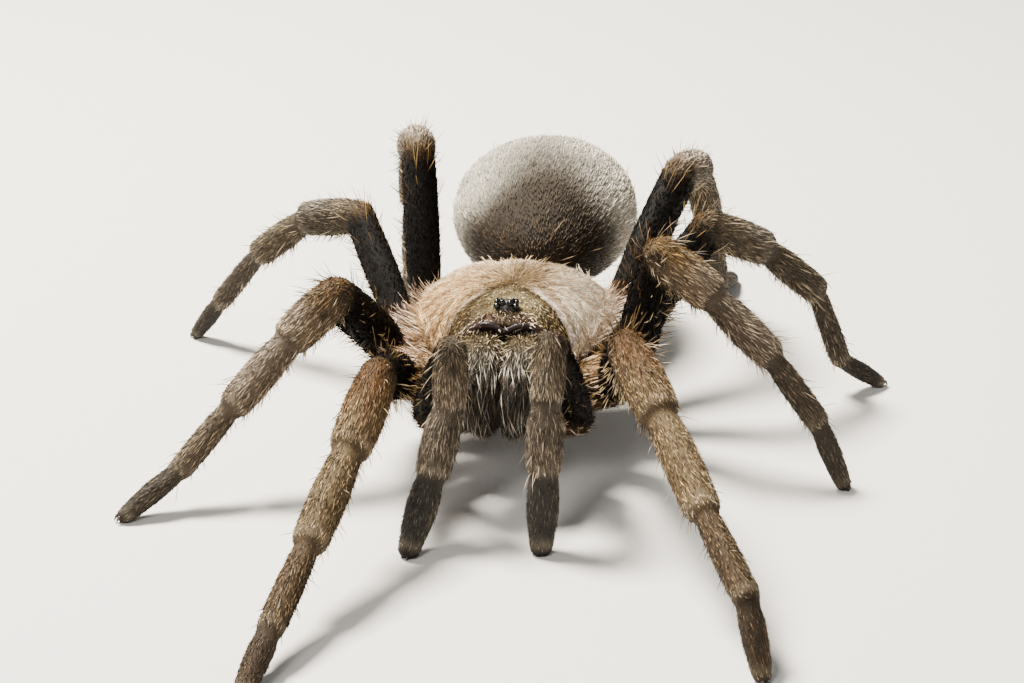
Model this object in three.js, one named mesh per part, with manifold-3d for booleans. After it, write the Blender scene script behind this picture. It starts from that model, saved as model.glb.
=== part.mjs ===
// A tarantula as a life-size, still museum model: it stands on its eight feet, with both palps set down in front.
// Millimetres, +Z up. The spider faces -Y, so its left side is +X. The origin is on the floor, under the middle of
// the space that the model takes up.
import * as THREE from "three";
import { mergeVertices } from "three/addons/utils/BufferGeometryUtils.js";
import Module from "manifold-3d";

const wasm = await Module();
wasm.setup();

// ---------------------------------------------------------------------------------------------------------------
// Driving dimensions
// ---------------------------------------------------------------------------------------------------------------

const GAP = 0.3; // between two pieces that touch, and round every lock of the coat
const SEED = 41; // of every varied size

// The front half of the body. In its own frame the underside of the carapace is z = 0, and its middle the origin.
const PROSOMA = { place: [0, 8.6, 12.0], pitch: 4 };

// Carapace: half widths and crest heights are [share of the length from the front, size].
const CARAPACE = {
  length: 22,
  halfWidths: [[0, 5.7], [0.1, 6.5], [0.22, 7.1], [0.42, 8.9], [0.62, 9.8], [0.8, 9.0], [0.93, 6.6], [1, 4.2]],
  crest: [[0, 5.9], [0.06, 6.15], [0.2, 6.3], [0.38, 5.95], [0.52, 5.5], [0.66, 5.4], [0.82, 4.2], [0.94, 2.2], [1, 1]],
  edge: 0.35, // thickness of the rim
  // The two powers of its rounded cross section, on the thorax and at the blunt front, and the share where they meet.
  section: { thorax: [2.3, 0.6], front: [4.0, 1.0], until: 0.25 },
  steps: 20, // facets along
  // Facets across: how near to the middle the groove's edge may come, how fast it moves out again behind the pit, and
  // where the others lie from it to the rim.
  across: { least: 0.9, behind: 12, beyond: [0.4, 0.72, 0.92, 1] },
};
// The groove that sets the head off from the thorax: its distance from the middle, and the shares where it shows.
const GROOVE = {
  line: [[0, 6.6], [0.12, 6.6], [0.2, 6], [0.25, 4.8], [0.3, 3.6], [0.36, 2.3], [0.43, 1.3], [0.5, 0.1], [0.54, -0.7]],
  depth: 0.6,
  width: 0.6,
  shown: [0.12, 0.52],
};
// The pit where its two arms meet, and the thorax's furrows, in degrees from straight back.
const FOVEA = { share: 0.51, depth: 0.8, halfWidth: 1.3, halfLength: 0.6 };
const FURROWS = { directions: [20, 55, 95, 135], depth: 0.26, width: 0.7 };

const EYES = {
  share: 0.115, // of the carapace's length, from the front
  mound: [1.3, 1.05, 1.0], // half width, half depth and height of the turret
  lenses: [[0.38, -0.36, 0.33], [0.95, -0.46, 0.32], [1.02, 0.16, 0.29], [0.64, 0.3, 0.22]], // x, y, radius on one side
};

// The core between the coxae, whose flat underside is the sternum: half widths along its length.
const CORE = {
  front: -10.85,
  back: 9.2,
  depth: 6.6,
  halfWidths: [[0, 1.9], [0.12, 2.3], [0.3, 3.8], [0.52, 4.6], [0.8, 4.0], [1, 2.2]],
};

// Chelicera: sections from the carapace forwards, [y, z of the middle, half width, half height].
const CHELICERA = {
  inner: 0.15, // from the midplane to the inner side
  flatness: 0.4, // power of the inner side's roundness
  sections: [
    [-11.0, 1.15, 2.4, 3.6],
    [-13.2, 1.15, 2.3, 3.65],
    [-15.2, 0.85, 2.05, 3.5],
    [-17.1, 0.15, 1.75, 2.9],
    [-18.4, -0.7, 1.35, 1.95],
  ],
  nose: 0.6,
};
const FANG = { root: [1.6, -17.1, -2.6], reach: 5.2, drop: 0.9, radius: 0.7, tipRadius: 0.2, inward: 0.6 };

const ABDOMEN = {
  middle: [1.1, 34.6, 14.4],
  halfSizes: [10.5, 13.6, 8.1],
  egg: 0.14, // how much wider the rear half is than the front half
  underside: 0.92, // share of the height below the middle
  rise: 3, // degrees that the back end is tipped up
  pedicel: { radius: 1.6, from: 18.4, z: 10.5 },
};
const SPINNERETS = {
  root: [1.5, 46.6, 11.4],
  mound: [3.0, 2.0, 1.8],
  long: { length: 7.6, radius: 0.95, tipRadius: 0.5, spread: 12, rise: 16 },
  short: { length: 2.2, radius: 0.6, tipRadius: 0.45, spread: 4, rise: -8, inset: 0.9, drop: 1.0 },
};

// Limbs by pair: length from joint to joint, place of the joint of trochanter and femur, place of the coxa's root.
const PAIRS = {
  1: { lengths: [15.5, 7.8, 10.9, 9.7, 7.1], hip: [10.6, 0.6, 9.7], root: [3.2, 2.6, 7.6], girth: 1.04 },
  2: { lengths: [13.2, 5.8, 8.4, 8.2, 7.4], hip: [12.0, 6.8, 9.4], root: [3.6, 6.6, 7.8], girth: 1.0 },
  3: { lengths: [13.6, 7.0, 8.4, 9.2, 6.4], hip: [12.0, 12.2, 9.9], root: [3.6, 10.4, 8.1], girth: 0.92 },
  4: { lengths: [16.5, 7.8, 10.4, 11.4, 7.4], hip: [10.3, 17.8, 10.4], root: [2.8, 14.2, 8.4], girth: 1.02 },
  palp: { lengths: [13.2, 4.9, 6.7, 8.2], hip: [7.5, -4.5, 8.1], root: [2.6, -1.2, 6.8], girth: 1.0 },
};
// Half widths of each length at its near end, middle and far end, and how much deeper it is than wide.
const LEG_GIRTHS = {
  coxa: [2.0, 2.3, 2.1, 1.12],
  femur: [1.75, 1.85, 1.8, 1.2],
  patella: [1.85, 2.05, 1.85, 1.04],
  tibia: [1.4, 1.7, 1.62, 1.02],
  metatarsus: [1.24, 1.42, 1.34, 1.0],
  tarsus: [1.14, 1.28, 1.05, 0.94],
};
const PALP_GIRTHS = {
  coxa: [1.7, 1.9, 1.6, 1.1],
  femur: [1.42, 1.55, 1.55, 1.12],
  patella: [1.58, 1.74, 1.68, 1.04],
  tibia: [1.5, 1.8, 1.74, 1.02],
  tarsus: [1.42, 1.66, 1.3, 0.96],
};
const LIMB_SIDES = 8;
// A foot's round tip: how far its middle lies back from the end and above the floor, as shares of its half width.
const FOOT = { back: 0.6, height: 0.66 };

// Each limb's stance in degrees. Swings are turned forwards from straight out to the side, for the femur and then for
// the rest of the limb. Rises are above level, for each length but the last, which comes down to the floor.
const STANCE = {
  leg_right_1: { swings: [89, 77], rises: [22, -29, -25, -23] },
  leg_left_1: { swings: [83, 64], rises: [35, -24, -28, -25] },
  leg_right_2: { swings: [60, 35], rises: [45, -36, -42, -43] },
  leg_left_2: { swings: [46, 16], rises: [72, -34, -41, -51] },
  leg_right_3: { swings: [-57, -26], rises: [42, -13, -38, -50] },
  leg_left_3: { swings: [-20, -25], rises: [55, -26, -41, -68] },
  leg_right_4: { swings: [-77, -80], rises: [72, -16, -52, -61] },
  leg_left_4: { swings: [-59, -76], rises: [47, -14, -52, -60] },
  palp_right: { swings: [114, 62], rises: [49, -85, -64] },
  palp_left: { swings: [108, 94], rises: [54, -56, -80] },
};

// The coat: locks of bristles, each three-sided, tapered, bent half way and sunk into the core.
const LOCK = { width: 1.0, thickness: 0.56, sunk: 0.9, bend: 24, atBend: 0.72, shortest: 1.1, vary: 0.2 };
// Rows along each length of a limb, locks round each row, their length, and their lean off the surface in degrees.
const LIMB_COAT = {
  femur: { rows: 2, around: 4, length: 2.4, lean: 33 },
  patella: { rows: 2, around: 3, length: 2.3, lean: 31 },
  tibia: { rows: 2, around: 3, length: 2.3, lean: 30 },
  metatarsus: { rows: 2, around: 3, length: 2.1, lean: 28 },
  tarsus: { rows: 1, around: 4, length: 1.8, lean: 25 },
};
const PALP_COAT = {
  femur: { rows: 2, around: 3, length: 1.9, lean: 32 },
  patella: { rows: 1, around: 4, length: 1.9, lean: 30 },
  tibia: { rows: 2, around: 3, length: 1.9, lean: 30 },
  tarsus: { rows: 1, around: 4, length: 1.7, lean: 26 },
};
// The bristles that stand up from each knee of a leg: on the end of the femur and on the start of the patella.
const KNEE_CREST = {
  femur: { share: 0.84, turns: [-20, 20], length: 2.8, lean: 58, width: 0.65 },
  patella: { share: 0.14, turns: [-20, 20], length: 3.2, lean: 74, width: 0.65 },
};
const HEAD_FRINGE = { count: 9, share: 0.04, length: 2.0, lean: 26, width: 0.9 }; // along the head's front edge
const RIM_FRINGE = { count: 6, from: 0.3, to: 0.95, length: 2.1, lean: 28, width: 1.1 }; // along each side's rim
const CHELICERA_COAT = { around: 3, length: 2.2, lean: 24, width: 0.95 };
const ABDOMEN_COAT = { rows: 4, around: 7, from: -0.66, to: 0.82, length: 2.7, lean: 27, width: 1.3 };

const COLOURS = {
  carapace: 0x8a6c44,
  eyes: 0x14100d,
  abdomen: 0x9c978c,
  spinnerets: 0x5e554a,
  chelicera: 0x5b4c39,
  fang: 0x1c0f0c,
  coxa: 0x4a3c2c,
  femur: 0x2a211a,
  limb: 0x6e5b43,
  sternum: 0x2b231b,
};

// ---------------------------------------------------------------------------------------------------------------
// Small tools
// ---------------------------------------------------------------------------------------------------------------

const radians = THREE.MathUtils.degToRad;
const vector = (p) => new THREE.Vector3(...p);
const X = new THREE.Vector3(1, 0, 0);
const Y = new THREE.Vector3(0, 1, 0);
const Z = new THREE.Vector3(0, 0, 1);

// A seeded stream of numbers from -1 to 1.
function stream(seed) {
  let state = seed;
  return () => {
    state = (state * 1664525 + 1013904223) % 4294967296;
    return (state / 4294967296) * 2 - 1;
  };
}

// A smooth curve through [share, size] pairs, read at a share.
function profile(pairs) {
  const curve = new THREE.SplineCurve(pairs.map(([s, v]) => new THREE.Vector2(s, v)));
  const points = curve.getPoints(pairs.length * 12);
  return (share) => {
    const next = points.findIndex((p) => p.x >= share);
    if (next < 0) return points.at(-1).y;
    if (next === 0) return points[0].y;
    const [a, b] = [points[next - 1], points[next]];
    return a.y + ((b.y - a.y) * (share - a.x)) / Math.max(b.x - a.x, 1e-9);
  };
}

// A closed three.js geometry as a solid. A loft may run either way round, so its faces are turned out here.
function solidOf(geometry) {
  const bare = geometry.index ? geometry.toNonIndexed() : geometry.clone();
  bare.deleteAttribute("normal");
  bare.deleteAttribute("uv");
  const merged = mergeVertices(bare, 1e-4);
  const make = (triVerts) =>
    new wasm.Manifold(new wasm.Mesh({ numProp: 3, vertProperties: merged.attributes.position.array, triVerts }));
  const solid = make(new Uint32Array(merged.index.array));
  if (solid.volume() > 0) return solid;
  const turned = new Uint32Array(merged.index.array);
  for (let i = 0; i < turned.length; i += 3) [turned[i], turned[i + 1]] = [turned[i + 1], turned[i]];
  return make(turned);
}

// A solid as a three.js geometry again.
function geometryOf(solid) {
  const mesh = solid.getMesh();
  const geometry = new THREE.BufferGeometry();
  geometry.setAttribute("position", new THREE.BufferAttribute(mesh.vertProperties, 3));
  geometry.setIndex(new THREE.BufferAttribute(mesh.triVerts, 1));
  const flat = geometry.toNonIndexed();
  flat.computeVertexNormals();
  return flat;
}

const moved = (solid, matrix) => solid.transform(matrix.toArray());

// The largest closed surface of a solid: loose scraps and sealed hollows go.
const largest = (solid) => solid.decompose().sort((a, b) => b.volume() - a.volume())[0];

// What lies behind a plane, on the side away from its normal, and clear of it by some distance.
function keepBehind(solid, { point, normal }, clear = GAP / 2) {
  const n = normal.clone().normalize();
  return solid.trimByPlane(n.clone().negate().toArray(), clear - n.dot(point));
}

const planeIn = (plane, matrix) => ({
  point: plane.point.clone().applyMatrix4(matrix),
  normal: plane.normal.clone().transformDirection(matrix),
});

// A closed tube through rings of points, each as long as the next. A ring of one point is a tip.
function loft(rings) {
  const positions = [];
  const face = (...corners) => corners.forEach((c) => positions.push(c.x, c.y, c.z));
  rings.slice(1).forEach((far, i) => {
    const near = rings[i];
    const sides = Math.max(near.length, far.length);
    for (let k = 0; k < sides; k++) {
      const l = (k + 1) % sides;
      if (near.length > 1) face(near[k], near[l], far[far.length > 1 ? l : 0]);
      if (far.length > 1) face(near[near.length > 1 ? k : 0], far[l], far[k]);
    }
  });
  const geometry = new THREE.BufferGeometry();
  geometry.setAttribute("position", new THREE.Float32BufferAttribute(positions, 3));
  return geometry;
}

// A ring of points in the plane of two directions.
function ring(centre, u, v, halfU, halfV, sides) {
  return Array.from({ length: sides }, (_, k) => {
    const turn = (2 * Math.PI * (k + 0.5)) / sides;
    return centre.clone().addScaledVector(u, halfU * Math.cos(turn)).addScaledVector(v, halfV * Math.sin(turn));
  });
}

// A tapered, round-ended rod along +x.
function rod(length, [near, middle, far, deep], sides = LIMB_SIDES) {
  const radius = profile([[0, near], [0.45, middle], [1, far]]);
  const at = (x) => new THREE.Vector3(x, 0, 0);
  const round = (x, r) => ring(at(x), Y, Z, r, r * deep, sides);
  const rings = [
    [at(-near)],
    round(-near * 0.72, near * 0.69),
    round(-near * 0.1, near * 0.98),
    ...[0.4, 0.8].map((s) => round(length * s, radius(s))),
    round(length + far * 0.25, far * 0.96),
    round(length + far * 0.78, far * 0.62),
    [at(length + far)],
  ];
  return solidOf(loft(rings));
}

// One lock, from its root on a surface with this normal, lying along the surface in this direction.
function lock({ root, normal, along, length, lean, width = 1 }) {
  const lie = along.clone().addScaledVector(normal, -along.dot(normal)).normalize();
  const across = new THREE.Vector3().crossVectors(normal, lie).normalize();
  const rising = (angle) =>
    lie.clone().multiplyScalar(Math.cos(radians(angle))).addScaledVector(normal, Math.sin(radians(angle)));
  const [start, end] = [rising(lean), rising(lean - LOCK.bend)];
  const foot = root.clone().addScaledVector(start, -LOCK.sunk);
  const middle = root.clone().addScaledVector(start, length * 0.45);
  const tip = middle.clone().addScaledVector(end, length * 0.55);
  const section = (centre, size) => {
    const up = new THREE.Vector3().crossVectors(start, across).normalize();
    const [halfWidth, half] = [(LOCK.width * width * size) / 2, (LOCK.thickness * size) / 2];
    const corner = (a, b) => centre.clone().addScaledVector(across, a).addScaledVector(up, b);
    return [corner(halfWidth, half), corner(-halfWidth, half), corner(0, -half)];
  };
  const base = foot.clone().addScaledVector(start, 0.1);
  return solidOf(loft([[foot], section(base, 1), section(middle, LOCK.atBend), [tip]]));
}

// Every piece of the model: its name, its colour, its solid in its own frame, that frame, and the locks it carries.
const pieces = [];
function piece(name, solid, frame, { colour, roughness = 0.8, coat = [] }) {
  pieces.push({ name, solid, frame, colour, roughness, coat });
}

// ---------------------------------------------------------------------------------------------------------------
// Front half of the body
// ---------------------------------------------------------------------------------------------------------------

const prosoma = new THREE.Matrix4().makeRotationX(radians(PROSOMA.pitch)).setPosition(...PROSOMA.place);
const halfWidthAt = profile(CARAPACE.halfWidths);
const crestAt = profile(CARAPACE.crest);
const grooveAt = profile(GROOVE.line);
const along = (share) => (share - 0.5) * CARAPACE.length;

// Height of the carapace's back above its underside.
function backHeight(share, x) {
  const half = halfWidthAt(share);
  const u = Math.min(Math.abs(x) / half, 1);
  const { thorax, front, until } = CARAPACE.section;
  const blunt = THREE.MathUtils.smoothstep(until - share, 0, until);
  const [inner, outer] = thorax.map((power, i) => THREE.MathUtils.lerp(power, front[i], blunt));
  let height = CARAPACE.edge + (crestAt(share) - CARAPACE.edge) * Math.pow(1 - Math.pow(u, inner), outer);
  if (share > GROOVE.shown[0] && share < GROOVE.shown[1]) {
    const off = (Math.abs(x) - grooveAt(share)) / GROOVE.width;
    height -= GROOVE.depth * Math.exp(-off * off);
  }
  const dy = along(share) - along(FOVEA.share);
  height -= FOVEA.depth * Math.exp(-((x / FOVEA.halfWidth) ** 2) - (dy / FOVEA.halfLength) ** 2);
  const reach = Math.hypot(x, dy);
  const turn = Math.atan2(Math.abs(x), dy);
  FURROWS.directions.forEach((direction) => {
    const off = ((turn - radians(direction)) * reach) / FURROWS.width;
    const fade = Math.min(1, reach / 3) * (1 - u ** 4);
    height -= FURROWS.depth * Math.exp(-off * off) * fade;
  });
  return Math.max(height, CARAPACE.edge);
}

// Where the facets' edges run across one side of the carapace: one edge follows the bottom of the groove, and behind
// the pit it runs on backwards.
function edgesAcross(share) {
  const half = halfWidthAt(share);
  const { least, behind, beyond } = CARAPACE.across;
  const nearest = least + behind * Math.max(0, share - FOVEA.share);
  const bottom = Math.min(Math.max(grooveAt(share), nearest), half - 2 * GROOVE.width);
  const [inner, outer] = [bottom - GROOVE.width, bottom + GROOVE.width];
  return [inner / 2, inner, bottom, outer, ...beyond.map((s) => THREE.MathUtils.lerp(outer, half, s))];
}

function carapace() {
  const rings = Array.from({ length: CARAPACE.steps + 1 }, (_, i) => {
    const share = i / CARAPACE.steps;
    const half = halfWidthAt(share);
    const edges = edgesAcross(share);
    const back = [...edges.toReversed().map((x) => -x), 0, ...edges];
    return [
      ...back.map((x) => new THREE.Vector3(x, along(share), backHeight(share, x))),
      new THREE.Vector3(half, along(share), 0),
      new THREE.Vector3(-half, along(share), 0),
    ];
  });
  const end = (share) => [new THREE.Vector3(0, along(share), 0.4)];
  return solidOf(loft([end(0), ...rings, end(1)]));
}

// The back of the head in a strip under the eyes, raised by a gap, to seat the turret on it.
function turretSeat() {
  const [reach, steps, across] = [2, 5, 4];
  const rings = Array.from({ length: steps + 1 }, (_, i) => {
    const share = (0.25 * i) / steps;
    const back = Array.from({ length: across + 1 }, (_, k) => {
      const x = reach * ((2 * k) / across - 1);
      return new THREE.Vector3(x, along(share), backHeight(share, x) + GAP);
    });
    return [...back, new THREE.Vector3(reach, along(share), 0), new THREE.Vector3(-reach, along(share), 0)];
  });
  const end = (r) => [new THREE.Vector3(0, r[0].y, 1)];
  return solidOf(loft([end(rings[0]), ...rings, end(rings.at(-1))]));
}

// The turret stands on the head, with eight lenses round its top.
function eyeTurret() {
  const [halfX, halfY, height] = EYES.mound;
  const y = along(EYES.share);
  const base = backHeight(EYES.share, 0) - 0.3;
  const mound = new THREE.SphereGeometry(1, 10, 6).scale(halfX, halfY, height + 0.3).translate(0, y, base);
  const lenses = [-1, 1].flatMap((side) =>
    EYES.lenses.map(([x, dy, r]) => {
      const u = Math.min((x / halfX) ** 2 + (dy / halfY) ** 2, 0.82);
      const z = base + (height + 0.3) * Math.sqrt(1 - u);
      return solidOf(new THREE.SphereGeometry(r, 6, 3).translate(side * x, y + dy, z));
    }),
  );
  return lenses.reduce((sum, lens) => sum.add(lens), solidOf(mound));
}

// The core between the coxae, or the same grown by a gap to cut them clear of it.
function bodyCore(grow = 0) {
  const half = profile(CORE.halfWidths);
  const steps = 9;
  const [front, back] = [CORE.front - grow, CORE.back + grow];
  const rings = Array.from({ length: steps + 1 }, (_, i) => {
    const share = i / steps;
    const y = front + (back - front) * share;
    const w = half(share) + grow;
    const [top, bottom] = [grow - GAP, -CORE.depth - grow];
    const flank = [[w, top], [w, bottom + 1.2], [w * 0.7, bottom + 0.1]];
    const corners = [...flank, ...flank.toReversed().map(([x, z]) => [-x, z])];
    return corners.map(([x, z]) => new THREE.Vector3(x, y, z));
  });
  const end = (y) => [new THREE.Vector3(0, y, -3)];
  return solidOf(loft([end(front), ...rings, end(back)]));
}

// One chelicera, or the same grown by a gap.
function chelicera(side, grow = 0) {
  const sides = 12;
  const { inner, flatness, sections, nose } = CHELICERA;
  const rings = sections.map(([y, z, halfWidth, halfHeight]) =>
    Array.from({ length: sides }, (_, k) => {
      const turn = (2 * Math.PI * (k + 0.5)) / sides;
      const [c, s] = [Math.cos(turn), Math.sin(turn)];
      const flattened = c < 0 ? -Math.pow(-c, flatness) : c;
      const x = inner + halfWidth + (halfWidth + grow) * flattened;
      return new THREE.Vector3(side * Math.max(x, inner - grow), y, z + (halfHeight + grow) * s);
    }),
  );
  const cap = ([y, z, w], dy) => [new THREE.Vector3(side * (inner + w), y + dy, z)];
  return solidOf(loft([cap(sections[0], 0), ...rings, cap(sections.at(-1), -nose - grow)]));
}

// A fang folded back under its chelicera.
function fang(side) {
  const steps = 6;
  const [x, y, z] = FANG.root;
  const rings = Array.from({ length: steps + 1 }, (_, i) => {
    const s = i / steps;
    const sag = Math.sin(Math.PI * Math.min(0.12 + 0.72 * s, 1));
    const centre = new THREE.Vector3(side * (x - FANG.inward * s), y + FANG.reach * s, z - FANG.drop * sag);
    const r = THREE.MathUtils.lerp(FANG.radius, FANG.tipRadius, s ** 0.8);
    return ring(centre, X, Z, r, r, 7);
  });
  const middle = (points) => points.reduce((sum, p) => sum.add(p), new THREE.Vector3()).divideScalar(points.length);
  const end = (points, dy) => [middle(points).add(new THREE.Vector3(0, dy, 0))];
  return solidOf(loft([end(rings[0], -0.35), ...rings, end(rings.at(-1), 0.3)]));
}

// Locks along the front edge of the head, which point forwards, and along the rim, which point outwards.
function carapaceCoat() {
  const random = stream(SEED);
  const vary = (length) => length * (1 + LOCK.vary * random());
  const front = Array.from({ length: HEAD_FRINGE.count }, (_, k) => {
    const { count, share, length, lean, width } = HEAD_FRINGE;
    const x = halfWidthAt(share) * 0.9 * Math.sin(Math.PI * ((k + 0.5) / count - 0.5));
    const root = new THREE.Vector3(x, along(share), backHeight(share, x));
    const normal = new THREE.Vector3(0.1 * x, -0.25, 1).normalize();
    return { root, normal, along: Y.clone().negate(), length: vary(length), lean, width };
  });
  const rim = [-1, 1].flatMap((side) =>
    Array.from({ length: RIM_FRINGE.count }, (_, k) => {
      const { count, from, to, length, lean, width } = RIM_FRINGE;
      const share = from + ((to - from) * (k + 0.5 + 0.3 * random())) / count;
      const x = halfWidthAt(share) * 0.9;
      const root = new THREE.Vector3(side * x, along(share), backHeight(share, x) - 0.2);
      const outwards = new THREE.Vector3(side, (share - 0.45) * 1.6, 0).normalize();
      return { root, normal: Z, along: outwards, length: vary(length), lean, width };
    }),
  );
  return [...front, ...rim];
}

// Locks over the front and the outer side of a chelicera, which point forwards and down.
function cheliceraCoat(side) {
  const random = stream(SEED + 1);
  const { around, length, lean, width } = CHELICERA_COAT;
  return CHELICERA.sections.slice(1, 4).flatMap(([y, z, halfWidth, halfHeight], row) =>
    Array.from({ length: around }, (_, k) => {
      const turn = radians(-15 + (130 * (k + 0.25 + 0.5 * (row % 2) + 0.15 * random())) / around);
      const normal = new THREE.Vector3(side * Math.cos(turn), -0.3, Math.sin(turn)).normalize();
      const x = CHELICERA.inner + halfWidth * (1 + 0.95 * Math.cos(turn));
      const root = new THREE.Vector3(side * x, y + 0.3 * random(), z + halfHeight * 0.95 * Math.sin(turn));
      const lie = new THREE.Vector3(0, -0.8, -0.6);
      return { root, normal, along: lie, length: length * (1 + LOCK.vary * random()), lean, width };
    }),
  );
}

piece("carapace", carapace(), prosoma, { colour: COLOURS.carapace, coat: carapaceCoat() });
piece("eye_turret", largest(eyeTurret().subtract(turretSeat())), prosoma, { colour: COLOURS.eyes, roughness: 0.2 });
piece("sternum", bodyCore(), prosoma, { colour: COLOURS.sternum });
const cheliceraBack = { point: new THREE.Vector3(0, -CARAPACE.length / 2, 0), normal: Y };
for (const [word, side] of [["left", 1], ["right", -1]]) {
  const whole = largest(keepBehind(chelicera(side), cheliceraBack, GAP));
  piece(`chelicera_${word}`, whole, prosoma, { colour: COLOURS.chelicera, coat: cheliceraCoat(side) });
  const tooth = largest(fang(side).subtract(chelicera(side, GAP)));
  piece(`fang_${word}`, tooth, prosoma, { colour: COLOURS.fang, roughness: 0.25 });
}

// ---------------------------------------------------------------------------------------------------------------
// Rear half of the body
// ---------------------------------------------------------------------------------------------------------------

const opisthosoma = new THREE.Matrix4().makeRotationX(radians(ABDOMEN.rise)).setPosition(...ABDOMEN.middle);

function abdomenBody(grow = 0) {
  const [sides, steps] = [16, 11];
  const [halfX, halfY, halfZ] = ABDOMEN.halfSizes.map((h) => h + grow);
  const rings = Array.from({ length: steps - 1 }, (_, i) => {
    const turn = (Math.PI * (i + 1)) / steps;
    const wide = Math.sin(turn) * (1 - ABDOMEN.egg * Math.cos(turn));
    return Array.from({ length: sides }, (_, k) => {
      const a = (2 * Math.PI * (k + 0.5)) / sides;
      const z = halfZ * wide * Math.sin(a) * (Math.sin(a) < 0 ? ABDOMEN.underside : 1);
      return new THREE.Vector3(halfX * wide * Math.cos(a), -halfY * Math.cos(turn), z);
    });
  });
  const pole = (y) => [new THREE.Vector3(0, y, 0)];
  return solidOf(loft([pole(-halfY), ...rings, pole(halfY)]));
}

// The abdomen with its stalk, which reaches forwards to the core between the coxae.
function abdomen() {
  const { radius, from, z } = ABDOMEN.pedicel;
  const length = ABDOMEN.middle[1] - from;
  const stalk = new THREE.CylinderGeometry(radius * 1.1, radius, length, 10);
  stalk.translate(0, from + length / 2, z);
  const local = moved(solidOf(stalk), opisthosoma.clone().invert());
  return largest(abdomenBody().add(local));
}

// Locks in rows round the abdomen, which point backwards.
function abdomenCoat() {
  const random = stream(SEED + 2);
  const { rows, around, from, to, length, lean, width } = ABDOMEN_COAT;
  const [halfX, halfY, halfZ] = ABDOMEN.halfSizes;
  return Array.from({ length: rows * around }, (_, i) => {
    const [row, k] = [Math.floor(i / around), i % around];
    const s = from + ((to - from) * (row + 0.5 + 0.25 * random())) / rows;
    const a = (2 * Math.PI * (k + 0.5 * (row % 2) + 0.15 * random())) / around + 0.2;
    const wide = 0.97 * Math.sqrt(1 - s * s) * (1 + ABDOMEN.egg * s);
    const height = halfZ * wide * (Math.sin(a) < 0 ? ABDOMEN.underside : 1);
    const root = new THREE.Vector3(halfX * wide * Math.cos(a), halfY * s, height * Math.sin(a));
    const normal = new THREE.Vector3(root.x / halfX ** 2, root.y / halfY ** 2, root.z / halfZ ** 2).normalize();
    return { root, normal, along: Y, length: length * (1 + LOCK.vary * random()), lean, width };
  });
}

// Spinnerets: a low mound that carries a long pair and a short pair.
function spinnerets() {
  const { root, mound, long, short } = SPINNERETS;
  const base = new THREE.SphereGeometry(1, 10, 6).scale(...mound).translate(ABDOMEN.middle[0], root[1], root[2]);
  const finger = (side, { length, radius, tipRadius, spread, rise, inset = 0, drop = 0 }) => {
    const matrix = new THREE.Matrix4().makeRotationZ(radians(90 - side * spread));
    matrix.multiply(new THREE.Matrix4().makeRotationY(radians(-rise)));
    matrix.setPosition(ABDOMEN.middle[0] + side * (root[0] - inset), root[1], root[2] - drop);
    return moved(rod(length, [radius, radius, tipRadius, 1], 6), matrix);
  };
  const fingers = [-1, 1].flatMap((side) => [finger(side, long), finger(side, short)]);
  return fingers.reduce((sum, one) => sum.add(one), solidOf(base));
}

piece("abdomen", abdomen(), opisthosoma, { colour: COLOURS.abdomen, coat: abdomenCoat() });
const spinneretsClear = spinnerets().subtract(moved(abdomenBody(GAP), opisthosoma));
piece("spinnerets", largest(spinneretsClear), new THREE.Matrix4(), { colour: COLOURS.spinnerets });

// ---------------------------------------------------------------------------------------------------------------
// Limbs
// ---------------------------------------------------------------------------------------------------------------

// A length of a limb lies along +x of its own frame, with its back towards +z.
function limbFrame(start, forward, up) {
  const across = new THREE.Vector3().crossVectors(up, forward).normalize();
  const back = new THREE.Vector3().crossVectors(forward, across);
  return new THREE.Matrix4().makeBasis(forward, across, back).setPosition(start);
}

// The joints of a limb and the frame of each length, from its stance. The last joint is the middle of the round tip.
function pose(side, hip, lengths, stance, tipHeight) {
  const joints = [vector(hip).setX(side * hip[0])];
  const frames = lengths.map((length, i) => {
    const start = joints[i];
    const swing = radians(stance.swings[i ? 1 : 0]);
    const last = i === stance.rises.length;
    const rise = last ? Math.asin((tipHeight - start.z) / length) : radians(stance.rises[i]);
    const level = new THREE.Vector3(side * Math.cos(swing), -Math.sin(swing), 0);
    const forward = level.clone().multiplyScalar(Math.cos(rise)).setZ(Math.sin(rise));
    joints.push(start.clone().addScaledVector(forward, length));
    return limbFrame(start, forward, level.clone().multiplyScalar(-Math.sin(rise)).setZ(Math.cos(rise)));
  });
  return { joints, frames };
}

const forwardOf = (frame) => new THREE.Vector3().setFromMatrixColumn(frame, 0);

// Locks in staggered rows round one length, which point towards its far end.
function limbCoat(length, [near, middle, far, deep], { rows, around, length: long, lean }, random) {
  const radius = profile([[0, near], [0.45, middle], [1, far]]);
  return Array.from({ length: rows * around }, (_, i) => {
    const [row, k] = [Math.floor(i / around), i % around];
    const share = 0.08 + (0.8 * (row + 0.45 + 0.22 * random())) / rows;
    const turn = (2 * Math.PI * (k + 0.5 * (row % 2) + 0.12 * random())) / around + Math.PI / 2;
    const normal = new THREE.Vector3(0, Math.cos(turn), Math.sin(turn));
    const r = 0.95 * radius(share);
    const root = new THREE.Vector3(length * share, r * Math.cos(turn), r * deep * Math.sin(turn));
    return { root, normal, along: X, length: long * (1 + LOCK.vary * random()), lean: lean + 5 * random() };
  });
}

// The bristles on one side of a knee.
function kneeCrest(kind, limbLength, [, , far, deep]) {
  const { turns, share, ...bristle } = KNEE_CREST[kind] ?? { turns: [] };
  return turns.map((degrees) => {
    const turn = radians(90 + degrees);
    const normal = new THREE.Vector3(0, Math.cos(turn), Math.sin(turn));
    const root = new THREE.Vector3(limbLength * share, 0.95 * far * normal.y, 0.95 * far * deep * normal.z);
    return { ...bristle, root, normal, along: X };
  });
}

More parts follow.
